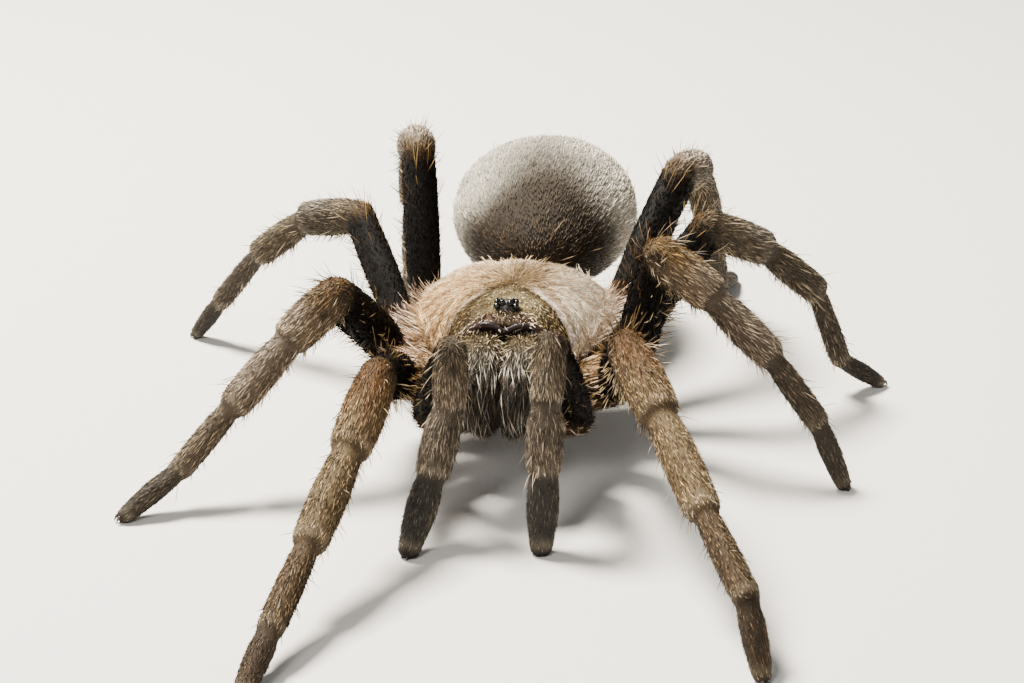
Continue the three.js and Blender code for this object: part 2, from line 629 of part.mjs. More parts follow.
// The plane that halves the bend of a joint: each of the two lengths keeps to its own side.
const bendPlane = (joint, before, after) => ({ point: joint, normal: before.clone().add(after) });
const turnedRound = ({ point, normal }) => ({ point, normal: normal.clone().negate() });
const FLOOR = { point: new THREE.Vector3(), normal: Z.clone().negate() };

function limb(name, stance) {
  const side = name.includes("left") ? 1 : -1;
  const isPalp = name.startsWith("palp");
  const pair = PAIRS[isPalp ? "palp" : name.at(-1)];
  const girths = isPalp ? PALP_GIRTHS : LEG_GIRTHS;
  const kinds = ["femur", "patella", "tibia", ...(isPalp ? ["tarsus"] : ["metatarsus", "tarsus"])];
  const coats = isPalp ? PALP_COAT : LIMB_COAT;
  const girthOf = (kind) => girths[kind].map((v, i) => (i < 3 ? v * pair.girth : v));
  const tip = girthOf("tarsus")[2];
  const lengths = [...pair.lengths.slice(0, -1), pair.lengths.at(-1) - FOOT.back * tip];
  const random = stream(SEED + 10 * pieces.length);
  const { joints, frames } = pose(side, pair.hip, lengths, stance, FOOT.height * tip);
  const root = vector(pair.root).setX(side * pair.root[0]);
  const coxaForward = joints[0].clone().sub(root).normalize();
  const forwards = [coxaForward, ...frames.map(forwardOf)];
  const planes = joints.slice(0, -1).map((joint, i) => bendPlane(joint, forwards[i], forwards[i + 1]));

  kinds.forEach((kind, i) => {
    if (kind === "tarsus" && !isPalp) return; // it is part of the foot
    const frame = frames[i];
    const inverse = frame.clone().invert();
    let solid = rod(lengths[i], girthOf(kind));
    const coat = limbCoat(lengths[i], girthOf(kind), coats[kind], random);
    if (!isPalp) coat.unshift(...kneeCrest(kind, lengths[i], girthOf(kind)));
    const isFoot = kind === "metatarsus";
    if (isFoot) {
      const step = inverse.clone().multiply(frames[i + 1]);
      solid = solid.add(moved(rod(lengths[i + 1], girthOf("tarsus")), step));
      coat.push(
        ...limbCoat(lengths[i + 1], girthOf("tarsus"), coats.tarsus, random).map((one) => ({
          ...one,
          root: one.root.applyMatrix4(step),
          normal: one.normal.transformDirection(step),
          along: one.along.clone().transformDirection(step),
        })),
      );
    }
    solid = keepBehind(solid, planeIn(turnedRound(planes[i]), inverse));
    const next = planes[i + 1];
    if (next && !isFoot) solid = keepBehind(solid, planeIn(next, inverse));
    solid = keepBehind(solid, planeIn(FLOOR, inverse), 0);
    const colour = kind === "femur" ? COLOURS.femur : COLOURS.limb;
    piece(`${name}_${isFoot ? "foot" : kind}`, largest(solid), frame, { colour, coat });
  });

  const frame = limbFrame(root, coxaForward, Z);
  const coxa = rod(joints[0].distanceTo(root), girthOf("coxa"));
  return { name, frame, side, root, hip: joints[0], coxa: keepBehind(moved(coxa, frame), planes[0]) };
}

const limbs = Object.entries(STANCE).map(([name, stance]) => limb(name, stance));

// Coxae are cut clear of the core, of the carapace, of the chelicerae and of each other.
const coreClear = moved(bodyCore(GAP), prosoma);
const underside = planeIn({ point: new THREE.Vector3(0, 0, -GAP), normal: Z }, prosoma);
const halfWay = (a, b) => a.clone().add(b).multiplyScalar(0.5);
for (const word of ["left", "right"]) {
  const names = [`palp_${word}`, ...[1, 2, 3, 4].map((n) => `leg_${word}_${n}`)];
  const row = names.map((name) => limbs.find((one) => one.name === name));
  row.forEach((here, i) => {
    let solid = keepBehind(here.coxa.subtract(coreClear), underside, 0);
    [row[i - 1], row[i + 1]].filter(Boolean).forEach((other) => {
      const point = halfWay(here.root, other.root);
      const normal = new THREE.Vector3().crossVectors(halfWay(here.hip, other.hip).sub(point), Z);
      if (normal.dot(other.hip.clone().sub(here.hip)) < 0) normal.negate();
      solid = keepBehind(solid, { point, normal });
    });
    if (i === 0) solid = solid.subtract(moved(chelicera(here.side, GAP), prosoma));
    const local = moved(largest(solid), here.frame.clone().invert());
    piece(`${here.name}_coxa`, local, here.frame, { colour: COLOURS.coxa });
  });
}

// ---------------------------------------------------------------------------------------------------------------
// Coat
// ---------------------------------------------------------------------------------------------------------------

const boxesNear = (a, b) => [0, 1, 2].every((i) => a.min[i] - GAP < b.max[i] && b.min[i] - GAP < a.max[i]);
const parts = pieces.map((one) => {
  const core = moved(one.solid, one.frame);
  return { ...one, core, solids: [{ solid: core, box: core.boundingBox() }] };
});

// Whether a lock stands clear of the floor and of every piece but its own.
function isClear(solid, box, own) {
  if (box.min[2] < GAP) return false;
  const others = parts.filter((other) => other !== own).flatMap((other) => other.solids);
  return others.every((other) => !boxesNear(box, other.box) || solid.minGap(other.solid, 2 * GAP) >= GAP);
}

// Each lock is shortened until it stands clear, or left out.
parts.forEach((own) =>
  own.coat.forEach((one) => {
    for (let length = one.length; length >= LOCK.shortest; length *= 0.85) {
      const solid = moved(lock({ ...one, length }), own.frame);
      const box = solid.boundingBox();
      if (!isClear(solid, box, own)) continue;
      own.solids.push({ solid, box });
      return;
    }
  }),
);

// ---------------------------------------------------------------------------------------------------------------
// Assembly
// ---------------------------------------------------------------------------------------------------------------

const spider = new THREE.Group();
const groups = new Map();
parts.forEach(({ name, solids, frame, colour, roughness }) => {
  const [system] = name.match(/^(leg|palp)_(left|right)(_\d)?/) ?? ["body"];
  if (!groups.has(system)) {
    groups.set(system, new THREE.Group());
    spider.add(groups.get(system));
  }
  const material = new THREE.MeshStandardMaterial({ color: colour, roughness, metalness: 0 });
  const whole = largest(solids.reduce((sum, one) => sum.add(one.solid), solids[0].solid));
  const mesh = new THREE.Mesh(geometryOf(moved(whole, frame.clone().invert())), material);
  mesh.name = name;
  mesh.applyMatrix4(frame);
  groups.get(system).add(mesh);
});

// The origin goes under the middle of the whole, on the floor.
const extent = new THREE.Box3().setFromObject(spider, true);
const centre = extent.getCenter(new THREE.Vector3());
spider.position.set(-centre.x, -centre.y, -extent.min.z);

export default spider;
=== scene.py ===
"""A life-size tarantula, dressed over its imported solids.

A carapace plate and one skin for the rest of the body carry a coat of short fur, longer hairs and bristles.
Eyes, fangs, claws and the lip of the head are pieces of their own. Shapes are worked out in millimetres in
the spider's own frame, in which it faces -Y and stands on z = 0, and are placed in metres on the solids.
"""

import sys
import logging
import math
from dataclasses import dataclass, replace
from enum import Enum, IntEnum
from typing import Any, Iterable, Sequence

import bmesh
import bpy
import numpy as np
from bpy.types import Material, Mesh, Object
from mathutils import Matrix, Vector
from mathutils.kdtree import KDTree


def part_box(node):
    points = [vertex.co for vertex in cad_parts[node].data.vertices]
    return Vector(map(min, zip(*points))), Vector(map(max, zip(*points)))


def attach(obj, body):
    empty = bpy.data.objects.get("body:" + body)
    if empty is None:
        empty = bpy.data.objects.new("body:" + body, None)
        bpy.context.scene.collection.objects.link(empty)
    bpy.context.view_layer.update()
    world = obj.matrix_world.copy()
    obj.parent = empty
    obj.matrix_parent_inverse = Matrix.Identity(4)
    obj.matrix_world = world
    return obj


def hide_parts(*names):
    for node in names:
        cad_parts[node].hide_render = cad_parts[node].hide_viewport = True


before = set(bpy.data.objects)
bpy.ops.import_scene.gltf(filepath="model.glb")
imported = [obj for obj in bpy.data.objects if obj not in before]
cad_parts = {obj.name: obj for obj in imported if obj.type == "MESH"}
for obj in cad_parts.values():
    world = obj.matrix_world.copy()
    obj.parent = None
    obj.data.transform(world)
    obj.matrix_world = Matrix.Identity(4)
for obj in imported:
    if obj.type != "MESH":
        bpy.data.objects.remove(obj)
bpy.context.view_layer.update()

Array = np.ndarray
Faces = list[tuple[int, ...]]
Shape = tuple[Array, Faces]  # vertices and faces
Sizes = tuple[float, ...]
Knots = tuple[Sizes, ...]  # rows of sizes, in order of place
LOG = logging.getLogger("tarantula")
MM = 0.001
TONES = "Tones"  # the colour attribute of the skin and the coat
BAKE_MAP = "OFBake"  # the coat's map of where each hair is rooted
UP = np.array([0.0, 0.0, 1.0])
SIDES = (-1.0, 1.0)  # right and left, as the sign of x


# ---------- Numbers and colours ----------


def tone(code: int) -> Array:
    """Turn a screen colour such as 0xC8B090 into linear red, green and blue.

    Args:
        code: The colour as a hexadecimal number.

    Returns:
        Three numbers from 0 to 1.
    """
    srgb = np.array([(code >> shift) & 255 for shift in (16, 8, 0)]) / 255.0
    return np.where(srgb <= 0.04045, srgb / 12.92, ((srgb + 0.055) / 1.055) ** 2.4)


def mix(first: Array, second: Array, share: Array | float) -> Array:
    """Blend colours or numbers.

    Args:
        first: What a share of 0 gives.
        second: What a share of 1 gives.
        share: One number, or one for each point.

    Returns:
        The blend, with one row for each point if share has many.
    """
    weight = np.clip(np.asarray(share, float), 0.0, 1.0)
    if weight.ndim == 1 and (np.ndim(first) >= 1 or np.ndim(second) >= 1):
        wide = np.shape(first)[-1:] == (3,) or np.shape(second)[-1:] == (3,)
        weight = weight[:, None] if wide else weight
    return first * (1.0 - weight) + second * weight


def ramp(value: Array, low: float, high: float) -> Array:
    """Rise smoothly from 0 at low to 1 at high; low may be the larger one."""
    t = np.clip((np.asarray(value, float) - low) / (high - low), 0.0, 1.0)
    return t * t * (3.0 - 2.0 * t)


def bump(value: Array, middle: float, width: float) -> Array:
    """A soft bump of height 1 round a middle value."""
    return np.exp(-(((np.asarray(value, float) - middle) / width) ** 2))


def curve(knots: Sequence[Sequence[float]], at: Array | float) -> Array:
    """Read a smooth curve through [place, size] knots.

    Args:
        knots: The knots, in order of place.
        at: The places to read.

    Returns:
        The size at each place; past the ends it stays at the end's size.
    """
    x, y = np.array(knots, float).T
    slope = np.gradient(y, x)
    at = np.clip(np.asarray(at, float), x[0], x[-1])
    i = np.clip(np.searchsorted(x, at) - 1, 0, len(x) - 2)
    step = x[i + 1] - x[i]
    t = (at - x[i]) / step
    rise = (2 * t**3 - 3 * t**2 + 1) * y[i] + (3 * t**2 - 2 * t**3) * y[i + 1]
    return rise + (t**3 - 2 * t**2 + t) * step * slope[i] + (t**3 - t**2) * step * slope[i + 1]


def unit(vectors: Array) -> Array:
    """Scale each vector to a length of 1."""
    return vectors / np.maximum(np.linalg.norm(vectors, axis=-1, keepdims=True), 1e-9)


def blend(first: int, second: int, share: Array) -> Array:
    """Mix two screen colours."""
    return mix(tone(first), tone(second), share)


def painted(count: int, code: int) -> Array:
    """The same screen colour for some vertices."""
    return np.tile(tone(code), (count, 1))


def around(sides: int, shift: float = 0.0) -> Array:
    """The angles of evenly spaced places round a ring, in radians; shift is a share of a step."""
    return 2 * math.pi * (np.arange(sides) + shift) / sides


def wrapped(turn: Array) -> Array:
    """An angle as one from -pi to pi."""
    return (turn + math.pi) % (2 * math.pi) - math.pi


def waves(points: Array, size: float, seed: int) -> Array:
    """Smooth noise from -1 to 1 as a sum of seeded waves.

    Args:
        points: One row for each point, in millimetres.
        size: The size of a typical blotch, in millimetres.
        seed: The seed of the waves' directions and phases.

    Returns:
        One number for each point.
    """
    count = 14
    random = np.random.default_rng(seed)
    directions = unit(random.normal(size=(count, 3))) * random.uniform(0.7, 1.6, (count, 1)) * math.pi / size
    phases = random.uniform(0, 2 * math.pi, count)
    return np.clip(np.sin(points @ directions.T + phases).sum(1) / 4.0, -1.0, 1.0)


# ---------- Frames and lofts ----------


class Part(IntEnum):
    """The named lengths and regions of the body."""

    CARAPACE = 0
    CORE = 1
    CHELICERA = 2
    ABDOMEN = 3
    SPINNERET = 4
    COXA = 5
    FEMUR = 6
    PATELLA = 7
    TIBIA = 8
    METATARSUS = 9
    TARSUS = 10


@dataclass(frozen=True)
class Axes:
    """A frame in the spider's own one, in millimetres: an origin and three unit directions."""

    origin: Array
    x: Array
    y: Array
    z: Array

    def place(self, points: Array) -> Array:
        """Take points from this frame to the spider's."""
        return points @ np.array([self.x, self.y, self.z]) + self.origin

    def turn(self, directions: Array) -> Array:
        """Take directions from this frame to the spider's."""
        return directions @ np.array([self.x, self.y, self.z])

    def read(self, points: Array) -> Array:
        """Take points from the spider's frame to this one."""
        return (points - self.origin) @ np.array([self.x, self.y, self.z]).T

    @staticmethod
    def pitched(origin: Sequence[float], degrees: float) -> "Axes":
        """Make a frame whose +y end is tipped up.

        Args:
            origin: Its origin.
            degrees: How far it is tipped.

        Returns:
            The frame.
        """
        a = math.radians(degrees)
        y = np.array([0.0, math.cos(a), math.sin(a)])
        z = np.array([0.0, -math.sin(a), math.cos(a)])
        return Axes(np.array(origin, float), np.array([1.0, 0.0, 0.0]), y, z)


@dataclass(frozen=True)
class Loft:
    """A closed surface through rings, with each vertex's place on it.

    Attributes:
        points: One row for each vertex, in the spider's frame.
        faces: Vertex numbers of each face.
        share: How far along each vertex lies.
        turn: How far round it lies, in radians, 0 at the back.
        lie: The direction in which the coat lies there.
        part: The part of the body.
        limb: The number of the limb, or -1.
    """

    points: Array
    faces: Faces
    share: Array
    turn: Array
    lie: Array
    part: Part
    limb: int = -1


def lofted(rings: Array, ends: Array) -> Shape:
    """Close a tube through rings of points.

    Args:
        rings: Points as [ring, place in ring, coordinate].
        ends: The two points that close its ends.

    Returns:
        The vertices, with the ends last, and the faces.
    """
    count, sides, _ = rings.shape
    points = np.concatenate([rings.reshape(-1, 3), ends])
    faces: Faces = []
    for i in range(count - 1):
        for k in range(sides):
            a, b = i * sides + k, i * sides + (k + 1) % sides
            faces.append((a, b, b + sides, a + sides))
    near, far = count * sides, count * sides + 1
    last = (count - 1) * sides
    for k in range(sides):
        faces.append((near, (k + 1) % sides, k))
        faces.append((far, last + k, last + (k + 1) % sides))
    return points, faces


def spots(share: Array, turn: Array, ends: Sequence[float] = (0.0, 1.0)) -> tuple[Array, Array]:
    """Tell where each vertex of a lofted tube lies on it.

    Args:
        share: How far along each ring lies.
        turn: How far round each place in a ring lies.
        ends: How far along the two points that close its ends lie.

    Returns:
        How far along and how far round each vertex lies.
    """
    shares = np.concatenate([np.repeat(share, len(turn)), ends])
    return shares, np.concatenate([np.tile(turn, len(share)), [0.0, 0.0]])


def merged(shapes: Sequence[Shape]) -> Shape:
    """Put the vertices and faces of some shapes together.

    Args:
        shapes: The shapes.

    Returns:
        All of them as one shape.
    """
    starts = np.cumsum([0] + [len(points) for points, _ in shapes])
    faces = [tuple(i + start for i in f) for (_, own), start in zip(shapes, starts) for f in own]
    return np.concatenate([points for points, _ in shapes]), faces


def added(name: str, data: Any) -> Object:
    """Put data into the scene as an object."""
    made = bpy.data.objects.new(name, data)
    bpy.context.scene.collection.objects.link(made)
    return made


def mesh_object(name: str, points: Array, faces: Iterable[Sequence[int]]) -> Object:
    """Make a mesh object in the scene, at the origin.

    Args:
        name: The object's name.
        points: Its vertices.
        faces: Its faces.

    Returns:
        The object.
    """
    mesh = bpy.data.meshes.new(name)
    mesh.from_pydata(points.tolist(), [], [tuple(f) for f in faces])
    mesh.update()
    return added(name, mesh)


def facing_out(made: Object) -> Object:
    """Turn the faces of a closed mesh outwards and shade it smooth.

    Args:
        made: The mesh object.

    Returns:
        The same object.
    """
    work = bmesh.new()
    work.from_mesh(made.data)
    bmesh.ops.remove_doubles(work, verts=work.verts, dist=1e-7)
    bmesh.ops.recalc_face_normals(work, faces=work.faces)
    work.to_mesh(made.data)
    work.free()
    made.data.shade_smooth()
    return made


def coordinates(mesh: Mesh) -> Array:
    """Read a mesh's vertices as rows."""
    flat = np.empty(len(mesh.vertices) * 3, np.float32)
    mesh.vertices.foreach_get("co", flat)
    return flat.reshape(-1, 3).astype(float)


def set_attribute(mesh: Mesh, name: str, values: Array) -> None:
    """Write one value for each vertex.

    Args:
        mesh: The mesh.
        name: The attribute's name; one that holds the word tone is a colour.
        values: One number or row for each vertex.
    """
    kind, part = "FLOAT", "value"
    if "tone" in name.lower():
        kind, part = "FLOAT_COLOR", "color"
        values = np.column_stack([values, np.ones(len(values))])
    elif values.ndim > 1:
        kind, part = "FLOAT_VECTOR", "vector"
    made = mesh.attributes.new(name, kind, "POINT")
    made.data.foreach_set(part, np.ascontiguousarray(values, np.float32).ravel())


class Placing:
    """Where the spider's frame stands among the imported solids."""

    def __init__(self, prosoma: Axes, core_front: float, core_top: float) -> None:
        """Find the offset from the solid core between the coxae.

        Args:
            prosoma: The frame of the front half of the body.
            core_front: The core's front end in that frame.
            core_top: The core's top in that frame.
        """
        low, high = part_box("sternum")
        foremost = prosoma.place(np.array([0.0, core_front, core_top]))
        across = (low.x + high.x) / 2 / MM
        self.offset = np.array([across, low.y / MM - foremost[1], 0.0])

    def metres(self, points: Array) -> Array:
        """Take points from the spider's millimetres to the solids' metres."""
        return (points + self.offset) * MM


# ---------- Limbs ----------


@dataclass(frozen=True)
class LimbPlan:
    """Sizes that the left and right limb of a pair share, with places on the left side."""

    lengths: Sizes  # from joint to joint, in order from the femur
    hip: tuple[float, float, float]  # the joint of trochanter and femur
    root: tuple[float, float, float]  # the root of the coxa
    girth: float  # how thick it is, as a share of the common sizes


@dataclass(frozen=True)
class Stance:
    """How one limb is held, in degrees.

    Attributes:
        name: The limb's name.
        swings: Turned forwards from straight out, for the femur and for the rest.
        rises: Above level, for each length but the last, which comes down to the floor.
    """

    name: str
    swings: tuple[float, float]
    rises: Sizes


@dataclass(frozen=True)
class Girth:
    """Half widths at the near end, the middle and the far end, and how much deeper than wide."""

    near: float
    middle: float
    far: float
    deep: float


@dataclass(frozen=True)
class Length:
    """One length of a limb, from joint to joint, with x of its frame along it and z at its back."""

    part: Part
    limb: int
    axes: Axes
    length: float
    girth: Girth
    thick: float
    bow: float = 0.0
    sides: int = 32
    steps: int = 20
    curl: Sizes = (78, 58, 38, 18)  # degrees at which the rings of a round end lie
    blunt: float = 0.62  # how long the far end is, as a share of a round one
    full: float = 0.8  # the power of its roundness

    @staticmethod
    def between(
        part: Part, limb: int, start: Array, run: Array, up: Array, girth: Girth, thick: float = 1.0,
        bow: float = 0.0,
    ) -> "Length":
        """Lay a length from its start along a run.

        Args:
            part: The part that it is.
            limb: The number of its limb, or -1.
            start: Where it starts.
            run: From its start to its end.
            up: A direction on the side of its back.
            girth: Its sizes across.
            thick: What they are multiplied by.
            bow: How far its middle rises.

        Returns:
            The length.
        """
        length = float(np.linalg.norm(run))
        x = run / length
        y = unit(np.cross(up, x))
        return Length(part, limb, Axes(start, x, y, np.cross(x, y)), length, girth, thick, bow)

    def radius(self, share: Array) -> Array:
        """The half width at a share of the length."""
        g = self.girth
        return self.thick * curve([(0, g.near), (0.45, g.middle), (1, g.far)], share)

    def loft(self) -> Loft:
        """Shape the length, with round ends that reach into its neighbours."""
        near, far = self.radius(np.array([0.0, 1.0]))
        blunt = 1.0 if self.part in (Part.TARSUS, Part.CORE, Part.SPINNERET) else self.blunt
        curl = np.radians(self.curl)
        body = np.linspace(0.0, 1.0, self.steps)
        tip = self.length + blunt * far * np.sin(curl[::-1])
        x = np.concatenate([-near * np.sin(curl), self.length * body, tip])
        r = np.concatenate([near * np.cos(curl), self.radius(body), far * np.cos(curl[::-1]) ** self.full])
        share = x / self.length
        lift = self.bow * np.sin(math.pi * np.clip(share, 0, 1))
        turn = around(self.sides, 0.5)
        rings = np.empty((len(x), self.sides, 3))
        rings[..., 0] = x[:, None]
        rings[..., 1] = r[:, None] * np.sin(turn)
        rings[..., 2] = r[:, None] * np.cos(turn) * self.girth.deep + lift[:, None]
        ends = np.array([[-near, 0.0, 0.0], [self.length + blunt * far, 0.0, 0.0]])
        points, faces = lofted(rings, ends)
        shares, turns = spots(share, turn, (share[0], share[-1]))
        lie = np.tile(self.axes.x, (len(points), 1))
        return Loft(self.axes.place(points), faces, shares, turns, lie, self.part, self.limb)


@dataclass(frozen=True)
class Limbs:
    """The eight legs and two palps.

    Rows of plans go from the palps backwards, and rows of girths from the coxa outwards.
    """

    plans: tuple[LimbPlan, ...] = (
        LimbPlan((13.2, 4.9, 6.7, 8.2), (7.5, -4.5, 8.1), (2.6, -1.2, 6.8), 1.0),
        LimbPlan((15.5, 7.8, 10.9, 9.7, 7.1), (10.6, 0.6, 9.7), (3.2, 2.6, 7.6), 1.04),
        LimbPlan((13.2, 5.8, 8.4, 8.2, 7.4), (12.0, 6.8, 9.4), (3.6, 6.6, 7.8), 1.0),
        LimbPlan((13.6, 7.0, 8.4, 9.2, 6.4), (12.0, 12.2, 9.9), (3.6, 10.4, 8.1), 0.92),
        LimbPlan((16.5, 7.8, 10.4, 11.4, 7.4), (10.3, 17.8, 10.4), (2.8, 14.2, 8.4), 1.02),
    )
    stances: tuple[Stance, ...] = (
        Stance("leg_right_1", (89, 77), (22, -29, -25, -23)),
        Stance("leg_left_1", (83, 64), (35, -24, -28, -25)),
        Stance("leg_right_2", (60, 35), (45, -36, -42, -43)),
        Stance("leg_left_2", (46, 16), (72, -34, -41, -51)),
        Stance("leg_right_3", (-57, -26), (42, -13, -38, -50)),
        Stance("leg_left_3", (-20, -25), (55, -26, -41, -68)),
        Stance("leg_right_4", (-77, -80), (72, -16, -52, -61)),
        Stance("leg_left_4", (-59, -76), (47, -14, -52, -60)),
        Stance("palp_right", (114, 62), (49, -85, -64)),
        Stance("palp_left", (108, 94), (54, -56, -80)),
    )
    leg_girths: tuple[Girth, ...] = (
        Girth(1.85, 2.15, 1.95, 1.12),
        Girth(1.6, 1.78, 1.66, 1.22),
        Girth(1.7, 1.96, 1.84, 1.06),
        Girth(1.28, 1.6, 1.56, 1.03),
        Girth(1.02, 1.2, 1.2, 1.0),
        Girth(0.98, 1.14, 0.9, 0.94),
    )
    palp_girths: tuple[Girth, ...] = (
        Girth(1.6, 1.8, 1.5, 1.1),
        Girth(1.3, 1.46, 1.4, 1.14),
        Girth(1.4, 1.58, 1.52, 1.05),
        Girth(1.28, 1.66, 1.6, 1.03),
        Girth(1.24, 1.52, 1.14, 0.96),
    )
    femur_bow: float = 0.22
    tip_back: float = 0.6  # the round tip's middle, back from the end, as a share of the solid's half width
    tip_height: float = 0.66  # and above the floor
    leg_tip: float = 1.05  # that half width on a leg
    palp_tip: float = 1.3  # and on a palp

    def names(self) -> list[str]:
        """The names of the limbs, in order."""
        return [stance.name for stance in self.stances]

    def lengths(self) -> list[Length]:
        """Lay out every length of every limb."""
        return [one for number in range(len(self.stances)) for one in self.limb(number)]

    def limb(self, number: int) -> list[Length]:
        """Lay out the lengths of one limb, from its coxa to its tip.

        Args:
            number: The limb's number.

        Returns:
            Its lengths in order.
        """
        stance = self.stances[number]
        side = 1.0 if "left" in stance.name else -1.0
        palp = stance.name.startswith("palp")
        plan = self.plans[0 if palp else int(stance.name[-1])]
        girths = self.palp_girths if palp else self.leg_girths
        parts = [Part.FEMUR, Part.PATELLA, Part.TIBIA] + ([] if palp else [Part.METATARSUS]) + [Part.TARSUS]
        tip = (self.palp_tip if palp else self.leg_tip) * plan.girth
        lengths = [*plan.lengths[:-1], plan.lengths[-1] - self.tip_back * tip]
        mirror = np.array([side, 1.0, 1.0])
        start, root = mirror * plan.hip, mirror * plan.root
        made = [Length.between(Part.COXA, number, root, start - root, UP, girths[0], plan.girth)]
        for i, (part, length, girth) in enumerate(zip(parts, lengths, girths[1:])):
            swing = math.radians(stance.swings[min(i, 1)])
            last = i == len(stance.rises)
            drop = (self.tip_height * tip - start[2]) / length
            rise = math.asin(drop) if last else math.radians(stance.rises[i])
            level = np.array([side * math.cos(swing), -math.sin(swing), 0.0])
            forward = level * math.cos(rise) + np.array([0, 0, math.sin(rise)])
            up = -level * math.sin(rise) + np.array([0, 0, math.cos(rise)])
            bow = self.femur_bow if part is Part.FEMUR else 0.0
            run = forward * length
            made.append(Length.between(part, number, start, run, up, girth, plan.girth, bow))
            start = start + run
        return made


# ---------- Front half of the body ----------


@dataclass(frozen=True)
class Carapace:
    """The shield over the front half: a raised head, a grooved thorax with a pit, and a thin rim.

    Shares of its length count from the front.
    """

    length: float = 22.0
    half_widths: Knots = (
        (0, 5.7), (0.1, 6.5), (0.22, 7.1), (0.42, 8.9), (0.62, 9.8), (0.8, 9.0), (0.93, 6.6), (1, 4.2),
    )
    crest: Knots = (
        (0, 5.9), (0.06, 6.15), (0.2, 6.3), (0.38, 5.95), (0.52, 5.5), (0.66, 5.4), (0.82, 4.2),
        (0.94, 2.2), (1, 1.0),
    )
    head: Knots = (
        (0, 6.6), (0.12, 6.6), (0.2, 6.0), (0.25, 4.75), (0.3, 3.55), (0.36, 2.35), (0.43, 1.3),
        (0.5, 0.1), (0.54, -0.7),
    )
    edge: float = 0.35
    inset: float = 0.15  # what the coat takes up
    arch: Sizes = (2.3, 0.6)  # the powers of the arch across
    blunt_arch: Sizes = (4.0, 1.0)  # and at the blunt front
    blunt_share: float = 0.25
    groove_depth: float = 0.6
    groove_width: float = 0.5
    groove_ends: Sizes = (0.1, 0.18, 0.48, 0.53)  # where it starts, is full, closes and ends
    pit_share: float = 0.51
    pit: Sizes = (0.8, 1.3, 0.45)  # depth, half width and half length
    pit_bend: float = 0.25
    furrows: Sizes = (20.0, 55.0, 95.0, 135.0)  # degrees from straight back
    furrow_depth: float = 0.34
    furrow_width: float = 0.6
    furrow_start: float = 3.0  # how far from the pit they are full
    lip: Sizes = (0.16, 0.965, 0.03)  # height, place across and half width of the raised rim
    lip_share: float = 0.12
    least: float = 0.12
    under: Sizes = (0.97, 0.5, -0.5, -0.97)  # rows of the underside, as shares of the half width
    under_height: float = 0.02
    face: Sizes = (0.97, 1.0, 0.93)  # the front face beside the first ring
    steps: tuple[int, int] = (150, 120)

    def beyond_head(self, share: Array, x: Array) -> Array:
        """How far outside the head's groove a point is, in millimetres."""
        return np.abs(x) - curve(self.head, share)

    def along(self, share: Array | float) -> Array:
        """The y of a share of the length."""
        return (np.asarray(share, float) - 0.5) * self.length

    def height(self, share: Array, x: Array) -> Array:
        """The height of the back above the underside, less the depth of the coat.

        Args:
            share: Shares of the length.
            x: Places across.

        Returns:
            The height at each.
        """
        half = curve(self.half_widths, share)
        u = np.minimum(np.abs(x) / half, 1.0)
        blunt = ramp(share, self.blunt_share, 0.0)
        inner, outer = (mix(*powers, blunt) for powers in zip(self.arch, self.blunt_arch))
        rise = self.edge + (curve(self.crest, share) - self.edge) * (1 - u**inner) ** outer
        off = self.beyond_head(share, x) / self.groove_width
        start, full, closing, end = self.groove_ends
        shown = ramp(share, start, full) * ramp(share, end, closing)
        rise -= self.groove_depth * np.exp(-off * off) * shown
        dy = self.along(share) - self.along(self.pit_share)
        depth, half_width, half_length = self.pit
        bend = dy + self.pit_bend * (x / half_width) ** 2
        rise -= depth * np.exp(-((x / half_width) ** 2) - (bend / half_length) ** 2)
        reach = np.hypot(x, dy)
        turn = np.arctan2(np.abs(x), dy)
        for direction in self.furrows:
            off = (turn - math.radians(direction)) * reach / self.furrow_width
            fade = np.minimum(1, reach / self.furrow_start)
            rise -= self.furrow_depth * np.exp(-off * off) * fade * (1 - u**4)
        height, middle, width = self.lip
        lip = height * bump(u, middle, width) * (share > self.lip_share)
        return np.maximum(rise - self.inset, self.least) + lip

    def loft(self, axes: Axes) -> Loft:
        """Shape the plate in its frame."""
        along, across = self.steps
        share = np.linspace(0.004, 0.996, along)
        half = curve(self.half_widths, share) - self.inset
        x = half[:, None] * np.sin(np.pi * (np.linspace(0, 1, across) - 0.5))
        y = self.along(share)[:, None]
        solid_x = x * ((half + self.inset) / half)[:, None]
        z = self.height(np.repeat(share[:, None], across, 1), solid_x)
        top = np.stack([x, np.repeat(y, across, 1), z], -1)
        under_x = half[:, None] * np.array(self.under)
        under_z = np.full_like(under_x, self.under_height)
        under = np.stack([under_x, np.repeat(y, len(self.under), 1), under_z], -1)
        rings = np.concatenate([top, under], 1)
        face = rings[:1] * self.face
        face[..., 1] = self.along(0.0)
        rings = np.concatenate([face, rings])
        ends = np.array([[0, self.along(0.0), 1.2], [0, self.along(1.0), 0.3]])
        points, faces = lofted(rings, ends)
        centre = np.array([0.0, self.along(self.pit_share), 0.0])
        lie = unit((points - centre) * [1, 1, 0])
        shares = points[:, 1] / self.length + 0.5
        return Loft(axes.place(points), faces, shares, points[:, 0], axes.turn(lie), Part.CARAPACE)


